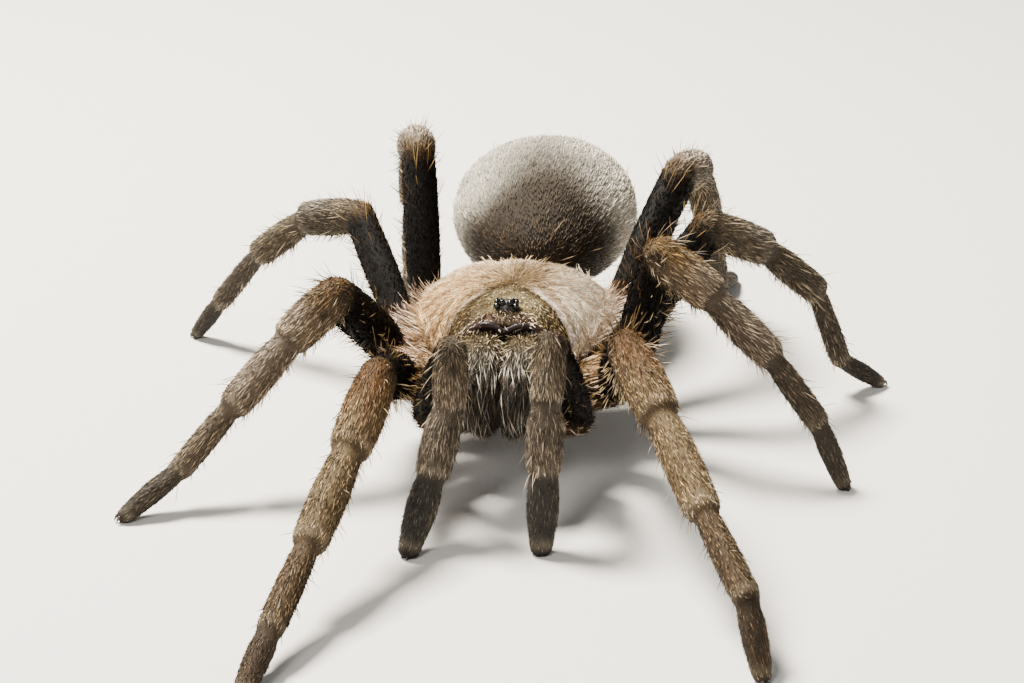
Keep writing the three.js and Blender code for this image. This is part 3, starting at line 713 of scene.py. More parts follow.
@dataclass(frozen=True)
class Head:
    """What the front of the head carries: eyes on a turret, the lip, chelicerae and fangs."""

    eye_share: float = 0.115
    mound: Sizes = (1.14, 0.98, 1.12)
    sunk: float = 0.12
    # x, y, z above the mound's foot and radius of the lenses on one side, and how much longer each is
    lenses: Knots = (
        (0.38, -0.48, 0.98, 0.34, 1.0),
        (0.92, -0.44, 0.62, 0.34, 1.2),
        (0.96, 0.16, 0.82, 0.28, 1.3),
        (0.62, 0.2, 1.0, 0.18, 1.2),
    )
    inner: float = 0.15
    # y and z of a chelicera's middle, half width and half height, from the carapace forwards
    sections: Knots = (
        (-10.2, 1.1, 2.1, 3.4),
        (-11.2, 1.15, 2.3, 3.55),
        (-13.2, 1.15, 2.2, 3.6),
        (-15.2, 0.85, 1.95, 3.4),
        (-17.0, 0.2, 1.65, 2.75),
        (-18.2, -0.6, 1.25, 1.85),
    )
    corners: Sizes = (0.3, 0.85, 0.72)  # powers of its roundness inwards, outwards and upwards
    rings: tuple[int, int] = (34, 40)
    nose: tuple[float, float] = (0.5, 0.3)  # how far its tip reaches on, and how far that drops
    hang: tuple[float, float] = (-0.25, -1.1)  # how steeply its hair points down, at the root and the tip
    splay: float = 0.22  # how far its hair points outwards
    fang_root: Sizes = (1.6, -17.0, -2.2)
    fang_reach: float = 5.2
    fang_drop: float = 0.9
    fang_radius: float = 0.66
    fang_in: float = 0.6
    lip_line: Knots = (
        (0, 5.0), (0.45, 5.2), (1.0, 5.5), (1.8, 5.62), (2.5, 5.38), (3.2, 4.8), (3.9, 4.1), (4.7, 3.2),
    )
    lip_radius: float = 0.42
    lip_half: float = 4.6

    def chelicera(self, side: float, axes: Axes) -> Loft:
        """Shape one chelicera, flattened on its inner side.

        Args:
            side: One of SIDES.
            axes: The frame of the front half.

        Returns:
            The chelicera.
        """
        count, sides = self.rings
        y, z, width, height = np.array(self.sections).T
        reach = np.cumsum(np.concatenate([[0], np.hypot(np.diff(y), np.diff(z))]))
        at = np.linspace(0, reach[-1], count)
        ys, zs, ws, hs = (curve(list(zip(reach, values)), at) for values in (y, z, width, height))
        turn = around(sides, 0.5)
        s, c = np.sin(turn), np.cos(turn)
        inside, outside, upwards = self.corners
        flat = np.where(s < 0, -np.abs(s) ** inside, np.abs(s) ** outside)
        c = np.sign(c) * np.abs(c) ** upwards
        x = np.maximum(self.inner + ws[:, None] * (1 + flat), self.inner)
        rings = np.stack([side * x, np.repeat(ys[:, None], sides, 1), zs[:, None] + hs[:, None] * c], -1)
        forwards, down = self.nose
        ends = np.array([
            [side * (self.inner + ws[0]), ys[0], zs[0]],
            [side * (self.inner + ws[-1]), ys[-1] - forwards, zs[-1] - down],
        ])
        points, faces = lofted(rings, ends)
        share, turns = spots(at / reach[-1], turn)
        outwards = self.splay * side * np.maximum(np.sin(turns), 0)
        lie = unit(np.stack([outwards, np.full_like(share, -1.0), mix(*self.hang, share)], -1))
        return Loft(axes.place(points), faces, share, turns, axes.turn(lie), Part.CHELICERA)

    def fang(self, side: float, axes: Axes) -> Shape:
        """Shape one fang, folded back under its chelicera.

        Args:
            side: One of SIDES.
            axes: The frame of the front half.

        Returns:
            The fang.
        """
        x, y, z = self.fang_root
        s = np.linspace(0, 1, 28)
        sag = np.sin(np.pi * (0.12 + 0.72 * s))
        centre = [side * (x - self.fang_in * s), y + self.fang_reach * s, z - self.fang_drop * sag]
        centre = np.stack(centre, -1)
        radius = self.fang_radius * (1 - s**1.3) + 0.05
        turn = around(20)
        rings = np.repeat(centre[:, None, :], len(turn), 1)
        rings[..., 0] += radius[:, None] * np.cos(turn)
        rings[..., 2] += radius[:, None] * np.sin(turn)
        points, faces = lofted(rings, np.array([centre[0] - [0, 0.4, 0], centre[-1] + [0, 0.1, 0]]))
        return axes.place(points), faces

    def turret(self, carapace: Carapace, axes: Axes) -> Shape:
        """Shape the mound that carries the eyes."""
        return self.ball(self.mound_middle(carapace), np.array(self.mound), 40, axes)

    def mound_middle(self, carapace: Carapace) -> Array:
        """The middle of the mound's foot."""
        height = float(carapace.height(np.array([self.eye_share]), np.array([0.0]))[0])
        return np.array([0.0, float(carapace.along(self.eye_share)), height - self.sunk])

    @staticmethod
    def ball(middle: Array, radii: Array, sides: int, axes: Axes) -> Shape:
        """Shape an ellipsoid.

        Args:
            middle: Its middle.
            radii: Its half sizes.
            sides: How many places there are round it.
            axes: The frame that it stands in.

        Returns:
            The ellipsoid.
        """
        count = sides // 2
        angle = math.pi * (np.arange(count) + 0.5) / count
        turn = around(sides)
        rings = np.stack([
            np.outer(np.sin(angle), np.cos(turn)),
            np.outer(np.sin(angle), np.sin(turn)),
            np.repeat(np.cos(angle)[:, None], sides, 1),
        ], -1)
        points, faces = lofted(rings, np.array([UP, -UP]))
        return axes.place(points * radii + middle), faces

    def eyes(self, carapace: Carapace, axes: Axes) -> list[Shape]:
        """Shape the eight lenses round the top of the mound.

        Args:
            carapace: The shield, on which the mound stands.
            axes: The frame of the front half.

        Returns:
            The lenses.
        """
        middle = self.mound_middle(carapace)
        return [
            self.ball(middle + [side * x, y, z], radius * np.array([1.0, long, 1.0]), 24, axes)
            for side in SIDES
            for x, y, z, radius, long in self.lenses
        ]

    def lip(self, carapace: Carapace, axes: Axes) -> Shape:
        """Shape the smooth lip under the front edge of the head, in two arches that meet in a notch.

        Args:
            carapace: The shield.
            axes: The frame of the front half.

        Returns:
            The lip.
        """
        x = np.linspace(-self.lip_half, self.lip_half, 70)
        z = curve(self.lip_line, np.abs(x))
        y = carapace.along(0.0) - 0.1 + 0.03 * x**2
        radius = self.lip_radius * np.sqrt(np.maximum(1 - (x / (self.lip_half + 0.05)) ** 6, 0.02))
        turn = around(16)
        rings = np.empty((len(x), len(turn), 3))
        rings[..., 0] = x[:, None]
        rings[..., 1] = y[:, None] + radius[:, None] * (0.6 * np.cos(turn) - 0.3 * np.sin(turn))
        rings[..., 2] = z[:, None] - 0.1 + radius[:, None] * np.sin(turn)
        points, faces = lofted(rings, np.array([[x[0], y[0], z[0]], [x[-1], y[-1], z[-1]]]))
        return axes.place(points), faces


@dataclass(frozen=True)
class Core:
    """What the coxae stand on, with the sternum as its underside."""

    front: float = -10.85
    back: float = 9.2
    top: float = -0.3  # of the solid core
    inside: float = 1.2  # how high this one reaches into the carapace
    depth: float = 6.4
    half_widths: Knots = ((0, 1.7), (0.12, 2.1), (0.3, 3.6), (0.52, 4.4), (0.8, 3.8), (1, 2.0))
    square: float = 0.6

    def loft(self, axes: Axes) -> Loft:
        """Shape the core, with its top inside the carapace."""
        count, sides = 40, 36
        share = np.linspace(0, 1, count)
        turn = around(sides, 0.5)
        wide, tall = (np.sign(way) * np.abs(way) ** self.square for way in (np.sin(turn), np.cos(turn)))
        middle, reach = (self.inside - self.depth) / 2, (self.inside + self.depth) / 2
        ends_in = np.sqrt(np.maximum(1 - (2 * share - 1) ** 8, 0.06))
        y = self.front + (self.back - self.front) * share
        rings = np.stack([
            curve(self.half_widths, share)[:, None] * wide,
            np.repeat(y[:, None], sides, 1),
            middle + reach * ends_in[:, None] * tall,
        ], -1)
        points, faces = lofted(rings, np.array([[0, self.front, middle], [0, self.back, middle]]))
        shares, turns = spots(share, turn)
        lie = np.tile(axes.y, (len(points), 1))
        return Loft(axes.place(points), faces, shares, turns, lie, Part.CORE)


# ---------- Rear half of the body ----------


@dataclass(frozen=True)
class Tube:
    """One spinneret: its length, radii at the root and the tip, and degrees outwards and upwards."""

    length: float
    radius: float
    tip: float
    spread: float
    rise: float

    def girth(self) -> Girth:
        """Its sizes across."""
        return Girth(self.radius, (self.radius + self.tip) * 0.55, self.tip, 1.0)

    def run(self, side: float) -> Array:
        """From its root to its tip, on the right for a side of -1 and on the left for 1."""
        swing, climb = math.radians(90 - side * self.spread), math.radians(self.rise)
        level = math.cos(climb)
        return self.length * np.array([math.cos(swing) * level, math.sin(swing) * level, math.sin(climb)])


@dataclass(frozen=True)
class Abdomen:
    """The soft rear half with its stalk and spinnerets."""

    middle: Sizes = (1.1, 34.6, 14.4)
    half_sizes: Sizes = (10.5, 13.6, 8.1)
    inset: float = 0.35  # what the coat takes up
    egg: float = 0.14  # how much thicker its back end is
    underside: float = 0.92  # its depth beside the height of its back
    rise: float = 3.0
    uneven: float = 0.012
    stalk_radius: float = 1.4
    stalk_from: float = 16.4
    stalk_in: float = 10.0  # how far before the middle it ends
    stalk_z: float = 10.5
    spinneret_root: Sizes = (1.5, 46.6, 11.4)
    spinneret_mound: Sizes = (2.8, 1.8, 1.6)
    long_pair: Tube = Tube(7.6, 0.82, 0.36, 12.0, 16.0)
    short_pair: Tube = Tube(2.2, 0.5, 0.34, 4.0, -8.0)
    short_root: tuple[float, float] = (0.9, 1.0)  # how much nearer the midline and lower they are

    def axes(self) -> Axes:
        """The abdomen's frame."""
        return Axes.pitched(self.middle, self.rise)

    def body(self) -> Loft:
        """Shape the egg of the abdomen."""
        sides, count = 72, 60
        axes = self.axes()
        half_x, half_y, half_z = np.array(self.half_sizes) - self.inset
        angle = math.pi * (np.arange(count) + 0.5) / count
        wide = np.sin(angle) * (1 - self.egg * np.cos(angle))
        turn = around(sides, 0.5)
        s, c = np.sin(turn), np.cos(turn)
        rings = np.stack([
            half_x * np.outer(wide, s),
            np.repeat((-half_y * np.cos(angle))[:, None], sides, 1),
            half_z * np.outer(wide, np.where(c < 0, self.underside * c, c)),
        ], -1)
        points, faces = lofted(rings, np.array([[0, -half_y, 0], [0, half_y, 0]]))
        share, turns = spots(angle / math.pi, turn)
        uneven = 1 + self.uneven * waves(points, 4.5, 5)[:, None]
        lie = np.tile(axes.y, (len(points), 1))
        return Loft(axes.place(points * uneven), faces, share, turns, lie, Part.ABDOMEN)

    def stalk(self) -> Loft:
        """Shape the stalk between the two halves."""
        run = np.array([0.0, self.middle[1] - self.stalk_in - self.stalk_from, 0.0])
        start = np.array([0.0, self.stalk_from, self.stalk_z])
        r = self.stalk_radius
        return Length.between(Part.CORE, -1, start, run, UP, Girth(r, r * 0.9, r, 1.0)).loft()

    def spinnerets(self) -> list[Loft]:
        """Shape the mound, the long three-jointed pair and the short pair."""
        x0, y0, z0 = self.spinneret_root
        middle = np.array([self.middle[0], y0, z0])
        points, faces = Head.ball(middle, np.array(self.spinneret_mound), 24, Axes.pitched((0, 0, 0), 0))
        flat = np.zeros(len(points))
        lie = np.tile([0.0, 1.0, 0.0], (len(points), 1))
        made = [Loft(points, faces, flat, flat, lie, Part.SPINNERET)]
        for side in SIDES:
            for one, (inwards, down) in ((self.long_pair, (0.0, 0.0)), (self.short_pair, self.short_root)):
                start = middle + [side * (x0 - inwards), 0, -down]
                made.append(Length.between(Part.SPINNERET, -1, start, one.run(side), UP, one.girth()).loft())
        return made


# ---------- Skin ----------


@dataclass(frozen=True)
class Surface:
    """A finished surface with what its coat needs to know at each vertex, in the spider's frame."""

    piece: Object
    points: Array
    share: Array
    turn: Array
    lie: Array
    part: Array
    limb: Array

    @staticmethod
    def over(piece: Object, points: Array, lofts: Sequence[Loft]) -> "Surface":
        """Give each vertex of a piece what the nearest vertex of its lofts has.

        Args:
            piece: The piece.
            points: Its vertices in the spider's frame.
            lofts: The lofts that it was made of.

        Returns:
            The surface.
        """
        sources = np.concatenate([one.points for one in lofts])
        tree = KDTree(len(sources))
        for i, p in enumerate(sources):
            tree.insert(p, i)
        tree.balance()
        nearest = np.array([tree.find(p)[1] for p in points])
        own = [(o.share, o.turn, o.lie, *np.tile([[o.part], [o.limb]], len(o.points))) for o in lofts]
        return Surface(piece, points, *(np.concatenate(column)[nearest] for column in zip(*own)))


@dataclass(frozen=True)
class Skin:
    """One closed skin over everything but the carapace plate.

    Attributes:
        voxel: The size of its facets in millimetres.
        smooth: How many times it is smoothed.
        floor: The least height of any vertex.
    """

    voxel: float = 0.34
    smooth: int = 5
    floor: float = 0.04

    def build(self, name: str, lofts: list[Loft], placing: Placing) -> Surface:
        """Fuse lofts into one skin.

        Args:
            name: The piece's name.
            lofts: The closed lofts, which reach into each other.
            placing: Where the spider stands.

        Returns:
            The skin with its anatomy.
        """
        rough = facing_out(mesh_object("rough", *merged([(one.points, one.faces) for one in lofts])))
        fuse = rough.modifiers.new("fuse", "REMESH")
        fuse.mode, fuse.voxel_size, fuse.adaptivity = "VOXEL", self.voxel, 0.0
        ease = rough.modifiers.new("ease", "SMOOTH")
        ease.factor, ease.iterations = 0.5, self.smooth
        piece = plain(rough, name)
        own = coordinates(piece.data)
        own[:, 2] = np.maximum(own[:, 2], self.floor)
        piece.data.vertices.foreach_set("co", placing.metres(own).astype(np.float32).ravel())
        piece.data.shade_smooth()
        return Surface.over(piece, own, lofts)


def plain(made: Object, name: str) -> Object:
    """Turn an object with modifiers into a plain mesh object, and remove the first.

    Args:
        made: The object with live modifiers.
        name: The plain object's name.

    Returns:
        The plain object.
    """
    depsgraph = bpy.context.evaluated_depsgraph_get()
    evaluated = made.evaluated_get(depsgraph)
    mesh = bpy.data.meshes.new_from_object(evaluated, preserve_all_data_layers=True, depsgraph=depsgraph)
    mesh.name = name
    result = added(name, mesh)
    old = made.data
    bpy.data.objects.remove(made)
    bpy.data.meshes.remove(old)
    return result


# ---------- Markings ----------


class Tier(Enum):
    """The layers of the coat, from the skin outwards."""

    UNDER = "under"
    OVER = "over"
    BRISTLE = "bristle"


@dataclass(frozen=True)
class Strands:
    """What the hairs of one layer are like at each vertex, with their colours at the root and the tip."""

    amount: Array
    reach: Array
    lean: Array
    root: Array
    tip: Array


@dataclass
class Pelt:
    """What the coat is like at each vertex; a number or colour alone is the same at all of them.

    Attributes:
        dark: The colour at the roots and of the skin.
        light: The colour at the tips.
        reach: The length of the longer hairs in millimetres.
        lean: How far they stand off the skin, in degrees.
        thick: How dense the coat is, as a share of the full density.
        under: How much of the tips' colour the undercoat has.
        plume: How dense the bristles are; the other plumes are their length, lean and colours.
    """

    dark: Array
    light: Array
    reach: Array
    lean: Array
    thick: Array
    under: Array
    plume: Array
    plume_reach: Array
    plume_lean: Array
    plume_dark: Array
    plume_light: Array

    @staticmethod
    def even(count: int) -> "Pelt":
        """A plain pelt to start from."""
        sizes = (np.full(count, value) for value in (1.4, 22.0, 1.0, 0.15, 0.0, 2.6, 50.0))
        tones = [painted(count, code) for code in (0x3A3026, 0x8A7B66, 0x2A2018, 0xA8977C)]
        return Pelt(*tones[:2], *sizes, *tones[2:])

    def stain(self, code: int, share: Array) -> None:
        """Blend the roots' colour towards a screen colour."""
        self.dark = mix(self.dark, tone(code), share)

    def tint(self, code: int, share: Array) -> None:
        """Blend the tips' colour towards a screen colour."""
        self.light = mix(self.light, tone(code), share)

    def strands(self, tier: Tier) -> Strands:
        """What the hairs of one layer are like.

        Args:
            tier: The layer; the undercoat is shorter, steeper and duller than the overcoat.

        Returns:
            Its hairs.
        """
        if tier is Tier.BRISTLE:
            return Strands(self.plume, self.plume_reach, self.plume_lean, self.plume_dark, self.plume_light)
        if tier is Tier.OVER:
            return Strands(self.thick, self.reach, self.lean, self.dark, self.light)
        tip = mix(self.dark, self.light, self.under)
        return Strands(self.thick, self.reach * 0.6, self.lean + 12.0, self.dark * 0.8, tip)

    def put(self, where: Array, other: "Pelt") -> None:
        """Write another pelt's values at some vertices."""
        for name in self.__dataclass_fields__:
            getattr(self, name)[where] = getattr(other, name)

    def eased(self, mesh: Mesh, times: int) -> "Pelt":
        """Blend the values of neighbouring vertices, so that no marking ends in a step.

        Args:
            mesh: The mesh whose edges join the vertices.
            times: How often to blend.

        Returns:
            The eased pelt.
        """
        edges = np.empty(len(mesh.edges) * 2, np.int32)
        mesh.edges.foreach_get("vertices", edges)
        a, b = edges.reshape(-1, 2).T
        count = len(mesh.vertices)
        weight = 1.0 + np.bincount(a, minlength=count) + np.bincount(b, minlength=count)

        def ease(values: Array) -> Array:
            """Blend one kind of value once."""
            flat = values.reshape(count, -1)
            total = flat.copy()
            for k in range(flat.shape[1]):
                total[:, k] += np.bincount(a, flat[b, k], count) + np.bincount(b, flat[a, k], count)
            return (total / weight[:, None]).reshape(values.shape)

        made = self
        for _ in range(times):
            made = Pelt(*(ease(getattr(made, name)) for name in made.__dataclass_fields__))
        return made


class Patch:
    """Some vertices of one part of the body, and where each lies on it."""

    def __init__(self, part: Part, name: str, skin: Surface, chosen: Array) -> None:
        """Read them off the skin.

        Args:
            part: The part.
            name: The limb's name, or nothing.
            skin: The skin.
            chosen: The numbers of the vertices.
        """
        self.part, self.name, self.count = part, name, len(chosen)
        self.palp = name.startswith("palp")
        self.pair = int(name[-1]) if name.startswith("leg") else 0
        self.points, self.share, self.turn = skin.points[chosen], skin.share[chosen], skin.turn[chosen]
        self.near = 1 - self.share
        self.up = np.cos(self.turn)
        self.back, self.belly = ramp(self.up, 0.1, 0.95), ramp(self.up, -0.1, -0.9)
        self.flank = 1 - np.abs(self.up)

    def blotch(self, size: float, seed: int) -> Array:
        """Soft blotches from 0 to 1, of a size in millimetres."""
        return 0.5 + 0.5 * waves(self.points, size, seed)

    def pick(self, kinds: Sequence[Any]) -> Any:
        """Choose from a row for the palps, the first pair, the second pair and the rear pairs."""
        return kinds[min(self.pair, 3)]


@dataclass(frozen=True)
class Markings:
    """The colours, lengths and lie of the coat over the whole body.

    Rows of colours are for the palps, the first pair of legs, the second and the rear ones.
    """

    shield: Carapace
    egg: Abdomen
    prosoma: Axes
    names: list[str]

    PATELLAE = ((0x241E16, 0x94846A), (0x46341F, 0xB39C74), (0x33271A, 0xCCB692), (0x2A2319, 0x9E8E70))
    PATELLA_TOPS = (0xAC9C80, 0xC8B48A, 0xECDABA, 0xF0E6CC)
    KNEES = (0x7A6A50, 0x94744C, 0xA07C44, 0xCDB68A)
    TIBIAE = ((0x1E1912, 0x7E725E), (0x42321F, 0xB29C76), (0x33271B, 0xC6B498), (0x241E15, 0x8A7A5E))
    TIBIA_TOPS = (0x9C8E76, 0xC6B186, 0xE6D6B8, 0xB8A882)
    METATARSI = (None, (0x32261A, 0x96805E), (0x241C15, 0xA69678), (0x211C15, 0x7E7058))
    TARSI = ((0x141311, 0x5A564C), (0x231B13, 0x6C5B44), (0x1A1611, 0x7A705C), (0x1A1611, 0x5A5140))
    WARMTH = ((1.0, 0.955, 1.0), (1.0, 0.92, 0.87), (1.0, 0.93, 0.94), (1.0, 0.955, 1.0))
    GOLDEN_KNEE = "leg_left_2"
    PAINTED_LEG_SHADE = {  # painted shade: how bright the patella, tibia, metatarsus and tarsus of each leg are drawn, darker on the legs that lie in shade
        "leg_left_1": (0.8, 0.9, 0.64, 0.8),
        "leg_right_1": (0.88, 0.82, 0.68, 0.85),
        "leg_left_2": (0.9, 0.58, 0.5, 0.7),
        "leg_right_2": (0.84, 0.8, 0.8, 0.72),
        "leg_left_3": (0.68, 0.62, 0.75, 0.8),
        "leg_right_3": (0.52, 0.8, 0.8, 0.85),
    }

    def pelt(self, skin: Surface) -> Pelt:
        """Read the coat of a surface.

        Args:
            skin: The surface.

        Returns:
            The pelt at each of its vertices.
        """
        made = Pelt.even(len(skin.points))
        for part in Part:
            for number in np.unique(skin.limb[skin.part == part]):
                here = np.flatnonzero((skin.part == part) & (skin.limb == number))
                at = Patch(part, self.names[number] if number >= 0 else "", skin, here)
                pelt = Pelt.even(at.count)
                getattr(self, part.name.lower())(at, pelt)
                if number >= 0:
                    self.limb(at, pelt)
                made.put(here, pelt)
        return made

    def limb(self, at: Patch, pelt: Pelt) -> None:
        """What the lengths of all limbs share: folds at their ends, blotches and the painted shade of the
        legs that lie in shade.
        """
        painted_dim = 1.0
        if at.part > Part.FEMUR:
            self.ends(at, pelt)
            # painted shade: the outer lengths of some legs are drawn darker, as they lie in shade
            painted_dim = self.PAINTED_LEG_SHADE.get(at.name, (1.0,) * 4)[at.part - Part.PATELLA]
        # the leg's painted shade times random blotches of tone; the roots take the painted shade too
        shade = (painted_dim * (0.86 + 0.28 * at.blotch(1.3, 11)))[:, None]
        pelt.light = pelt.light * shade * np.array(at.pick(self.WARMTH))
        pelt.dark = pelt.dark * (painted_dim * 0.85)

    def coxa(self, at: Patch, pelt: Pelt) -> None:
        """Dark felt with a pale tuft at the outer end."""
        blotch = at.blotch(1.3, 11)
        end = ramp(at.share, 0.7, 0.95) * ramp(at.up, -0.4, 0.6)
        pelt.dark = blend(0x17100A, 0x6A4C2C, at.back)
        pelt.light = blend(0x6E5638, 0xE8CDA0, at.back * ramp(blotch, 0.1, 0.7))
        tuft = blend(0xC88644, 0xF0DCC4, ramp(blotch, 0.35, 0.65))
        pelt.light = mix(pelt.light, tuft, 0.85 * end)
        pelt.reach = mix(1.0, 1.35, end)
        pelt.lean = mix(24, 34, end)
        pelt.plume = 0.9 * ramp(at.share, 0.45, 0.7) * ramp(at.up, -0.3, 0.4)
        pelt.plume_reach = 2.2
        pelt.plume_lean = 30.0
        pelt.plume_dark = tone(0x8E6A48)
        pelt.plume_light = blend(0xE8C49A, 0xF8ECE0, blotch)

    def femur(self, at: Patch, pelt: Pelt) -> None:
        """Black felt with a fringe of bristles above and below, golden on one leg."""
        golden = at.name == self.GOLDEN_KNEE
        front = at.pair < 3
        pelt.dark = tone(0x070503)
        pelt.light = blend(0x0E0905, 0x1C140B, at.flank * at.blotch(1.3, 11))
        pelt.tint(0xA98046, 0.5 * at.back * ramp(at.near, 0.12, 0.0))
        pelt.reach = mix(0.85, 1.0, at.belly)
        pelt.lean = mix(18, 30, at.belly)
        knee_end = np.ones(at.count) if front else ramp(at.share, 0.45, 0.9)
        sides = (0.35 if front else 0.1) * ramp(at.flank, 0.7, 0.95)
        pelt.plume = 0.3 * at.back * knee_end + 0.75 * at.belly + sides
        if golden:
            pelt.plume += 0.8 * ramp(at.up, -0.2, 0.5) * ramp(at.share, 0.55, 0.85)
        pelt.plume_reach = mix(mix(1.8, 2.9, at.back * ramp(at.share, 0.3, 0.8)), 2.3, at.belly)
        pelt.plume_lean = mix(52, 60, at.belly)
        pelt.plume_dark = tone(0x2A1A0E)
        pelt.plume_light = mix(tone(0x6E5236 if golden else 0x8A7147), tone(0xC9B388), at.belly)

    def patella(self, at: Patch, pelt: Pelt) -> None:
        """Pale above with a golden knee, and a bare stripe on each side of the first pair."""
        dark, light = at.pick(self.PATELLAE)
        knee = 0xC49C54 if at.name == self.GOLDEN_KNEE else at.pick(self.KNEES)
        pelt.dark = mix(tone(dark), tone(dark) * 1.25, at.back)
        pelt.light = mix(tone(light), tone(at.pick(self.PATELLA_TOPS)), at.back)
        pelt.light = mix(pelt.light, tone(knee), ramp(at.near, 0.25, 0.85) * ramp(at.up, -0.2, 0.7) * 0.9)
        if at.pair == 1:
            stripe = bump(np.abs(wrapped(at.turn)), 0.45, 0.2)
            pelt.tint(0xA87040, 0.55 * stripe * ramp(at.share, 1.0, 0.3))
            pelt.stain(0x553418, 0.6 * stripe)
        pelt.reach = mix(0.85, 1.0, at.back)
        pelt.lean = mix(20, 26, at.back)
        pelt.plume = (0.18 + 0.5 * ramp(at.near, 0.6, 0.95)) * at.back + self.fringe(at)
        pelt.plume_reach = mix(mix(1.6, 2.2, at.near), 1.25, at.belly)
        pelt.plume_light = mix(pelt.plume_light, pelt.light, at.belly)
        if at.pair == 4:
            pelt.tint(0xFFF6E2, 0.75 * at.back)
            pelt.stain(0x6A5C44, 0.6 * at.back)

    def tibia(self, at: Patch, pelt: Pelt) -> None:
        """Dark sides and a pale back."""
        dark, light = at.pick(self.TIBIAE)
        pelt.dark = tone(dark)
        pelt.light = mix(tone(light), tone(at.pick(self.TIBIA_TOPS)), at.back)
        pelt.reach = mix(0.9, 0.85, at.back)
        pelt.plume = 0.2 * at.back + self.fringe(at)
        pelt.plume_reach = mix(1.9, 1.2, at.belly)
        pelt.plume_light = mix(pelt.plume_light, pelt.light, at.belly)

    def metatarsus(self, at: Patch, pelt: Pelt) -> None:
        """Grey-brown, with a short brush below."""
        dark, light = at.pick(self.METATARSI)
        pelt.dark = mix(tone(dark), tone(0x26211A), at.belly)
        pelt.light = mix(tone(light), tone(light) * 1.2, at.back)
        pelt.tint(0x554E40, 0.8 * at.belly)
        pelt.reach = mix(0.85, 0.65, at.belly)
        pelt.plume = 0.12 * at.back + 0.9 * at.belly
        pelt.plume_reach = mix(1.6, 0.9, at.belly)

    def tarsus(self, at: Patch, pelt: Pelt) -> None:
        """Dark, with short felt below."""
        dark, light = at.pick(self.TARSI)
        pelt.dark = mix(tone(dark), tone(0x1C1917), at.belly)
        pelt.light = mix(tone(light), tone(0x4A463F), at.belly)
        pelt.reach = mix(0.75, 0.5, at.belly)
        pelt.lean = 18.0

    @staticmethod
    def fringe(at: Patch) -> Array:
        """How many bristles hang below a patella or tibia."""
        return (0.4 if at.palp else 1.3) * at.belly

    @staticmethod
    def ends(at: Patch, pelt: Pelt) -> None:
        """Lay the coat of an outer length down, with a pale ring at its far end and bare folds at both.

        Args:
            at: Its vertices.
            pelt: Its coat.
        """
        pelt.lean = pelt.lean * 0.75
        pelt.reach = pelt.reach * 1.15
        if at.palp:
            pelt.tint(0xBDB092, 0.5 * ramp(at.flank, 0.6, 0.95))
        pelt.tint(0xE2D4B2, 0.8 * bump(at.share, 0.97, 0.05))
        pelt.reach = pelt.reach * (1 - 0.5 * ramp(at.share, 0.86, 1.0))
        near = 0.3 if at.part is Part.PATELLA else 1.0
        fold = ramp(at.share, 0.11, 0.02) * near + ramp(at.share, 1.01, 1.06)
        pelt.light = mix(pelt.light, pelt.dark, 0.8 * fold)
        pelt.stain(0x120D08, 0.8 * fold)
        pelt.reach = pelt.reach * (1 - 0.45 * fold)


    def carapace(self, at: Patch, pelt: Pelt) -> None:
        """An olive-brown head, a pale streaked thorax, and a fringed rim."""
        points = at.points
        own = self.prosoma.read(points)
        x, share = own[:, 0], own[:, 1] / self.shield.length + 0.5
        half = curve(self.shield.half_widths, share)
        u = np.abs(x) / half
        dy = own[:, 1] - float(self.shield.along(self.shield.pit_share))
        beyond = self.shield.beyond_head(share, x)
        before = ramp(share, 0.66, 0.42)
        turn = np.arctan2(np.abs(x), dy)
        streak = 0.5 + 0.5 * np.cos(turn * 26 + 1.8 * waves(points, 2.4, 3))
        blotch = at.blotch(0.9, 4)
        away = ramp(x, 0.5, -2.5)
        soft = mix(0.35, 2.0, ramp(share, 0.28, 0.5)) + 0.9 * away
        edge = (beyond + 0.3 * waves(points, 0.8, 6)) / soft - 0.6 * away
        head = ramp(edge, 1.0, -1.0) * before
        nape = bump(x, 0.3, 3.4) * ramp(share, 0.3, 0.42) * ramp(share, 0.84, 0.6)
        head = np.maximum(head, 0.75 * nape)
        margin = np.maximum(ramp(beyond, -3.0, -0.7), 0.95 * ramp(np.abs(x - 0.3), 1.7, 3.9))
        rim = ramp(u, 0.86, 0.98)
        sunny = np.maximum(ramp(x, 1.0, 6.0), 0.8 * ramp(share, 0.55, 0.85))
        furrow, ridge = blend(0x6E5030, 0xC2A078, sunny), blend(0xB89460, 0xEEDCC0, sunny)
        pelt.dark = mix(furrow, ridge, streak)
        furrow, ridge = blend(0xECBA7C, 0xFFF6E2, sunny), blend(0xFFE6B8, 0xFFFCEE, sunny)
        pelt.light = mix(furrow, ridge, streak)
        pelt.tint(0xE2AA78, 0.6 * ramp(u, 0.78, 0.97) * blotch)
        # line: a pale band along the outer edge of the head's groove, partly white hair and partly a painted
        # highlight on the edge, stronger on the left side
        line = bump(beyond, 0.55, 0.4) * ramp(share, 0.1, 0.2) * ramp(share, 0.46, 0.36)
        line *= mix(0.25, 1.0, ramp(x, -2, 2))
        # painted shade: a darker band just outside the head's groove on the left side, beside its lit edge
        shade = bump(beyond, 1.6, 0.6) * ramp(x, 0.5, 2.5) * ramp(share, 0.5, 0.4)
        pelt.tint(0xA0825A, 0.55 * shade)
        pelt.stain(0x5E4628, 0.6 * shade)
        pelt.dark = mix(pelt.dark, blend(0x342812, 0x1E160A, margin), head)
        inner_tone = blend(0x947E4E, 0xDCC898, blotch)
        caput = mix(inner_tone, blend(0x46341A, 0x7A6032, blotch), margin)
        pelt.light = mix(pelt.light, caput, head)
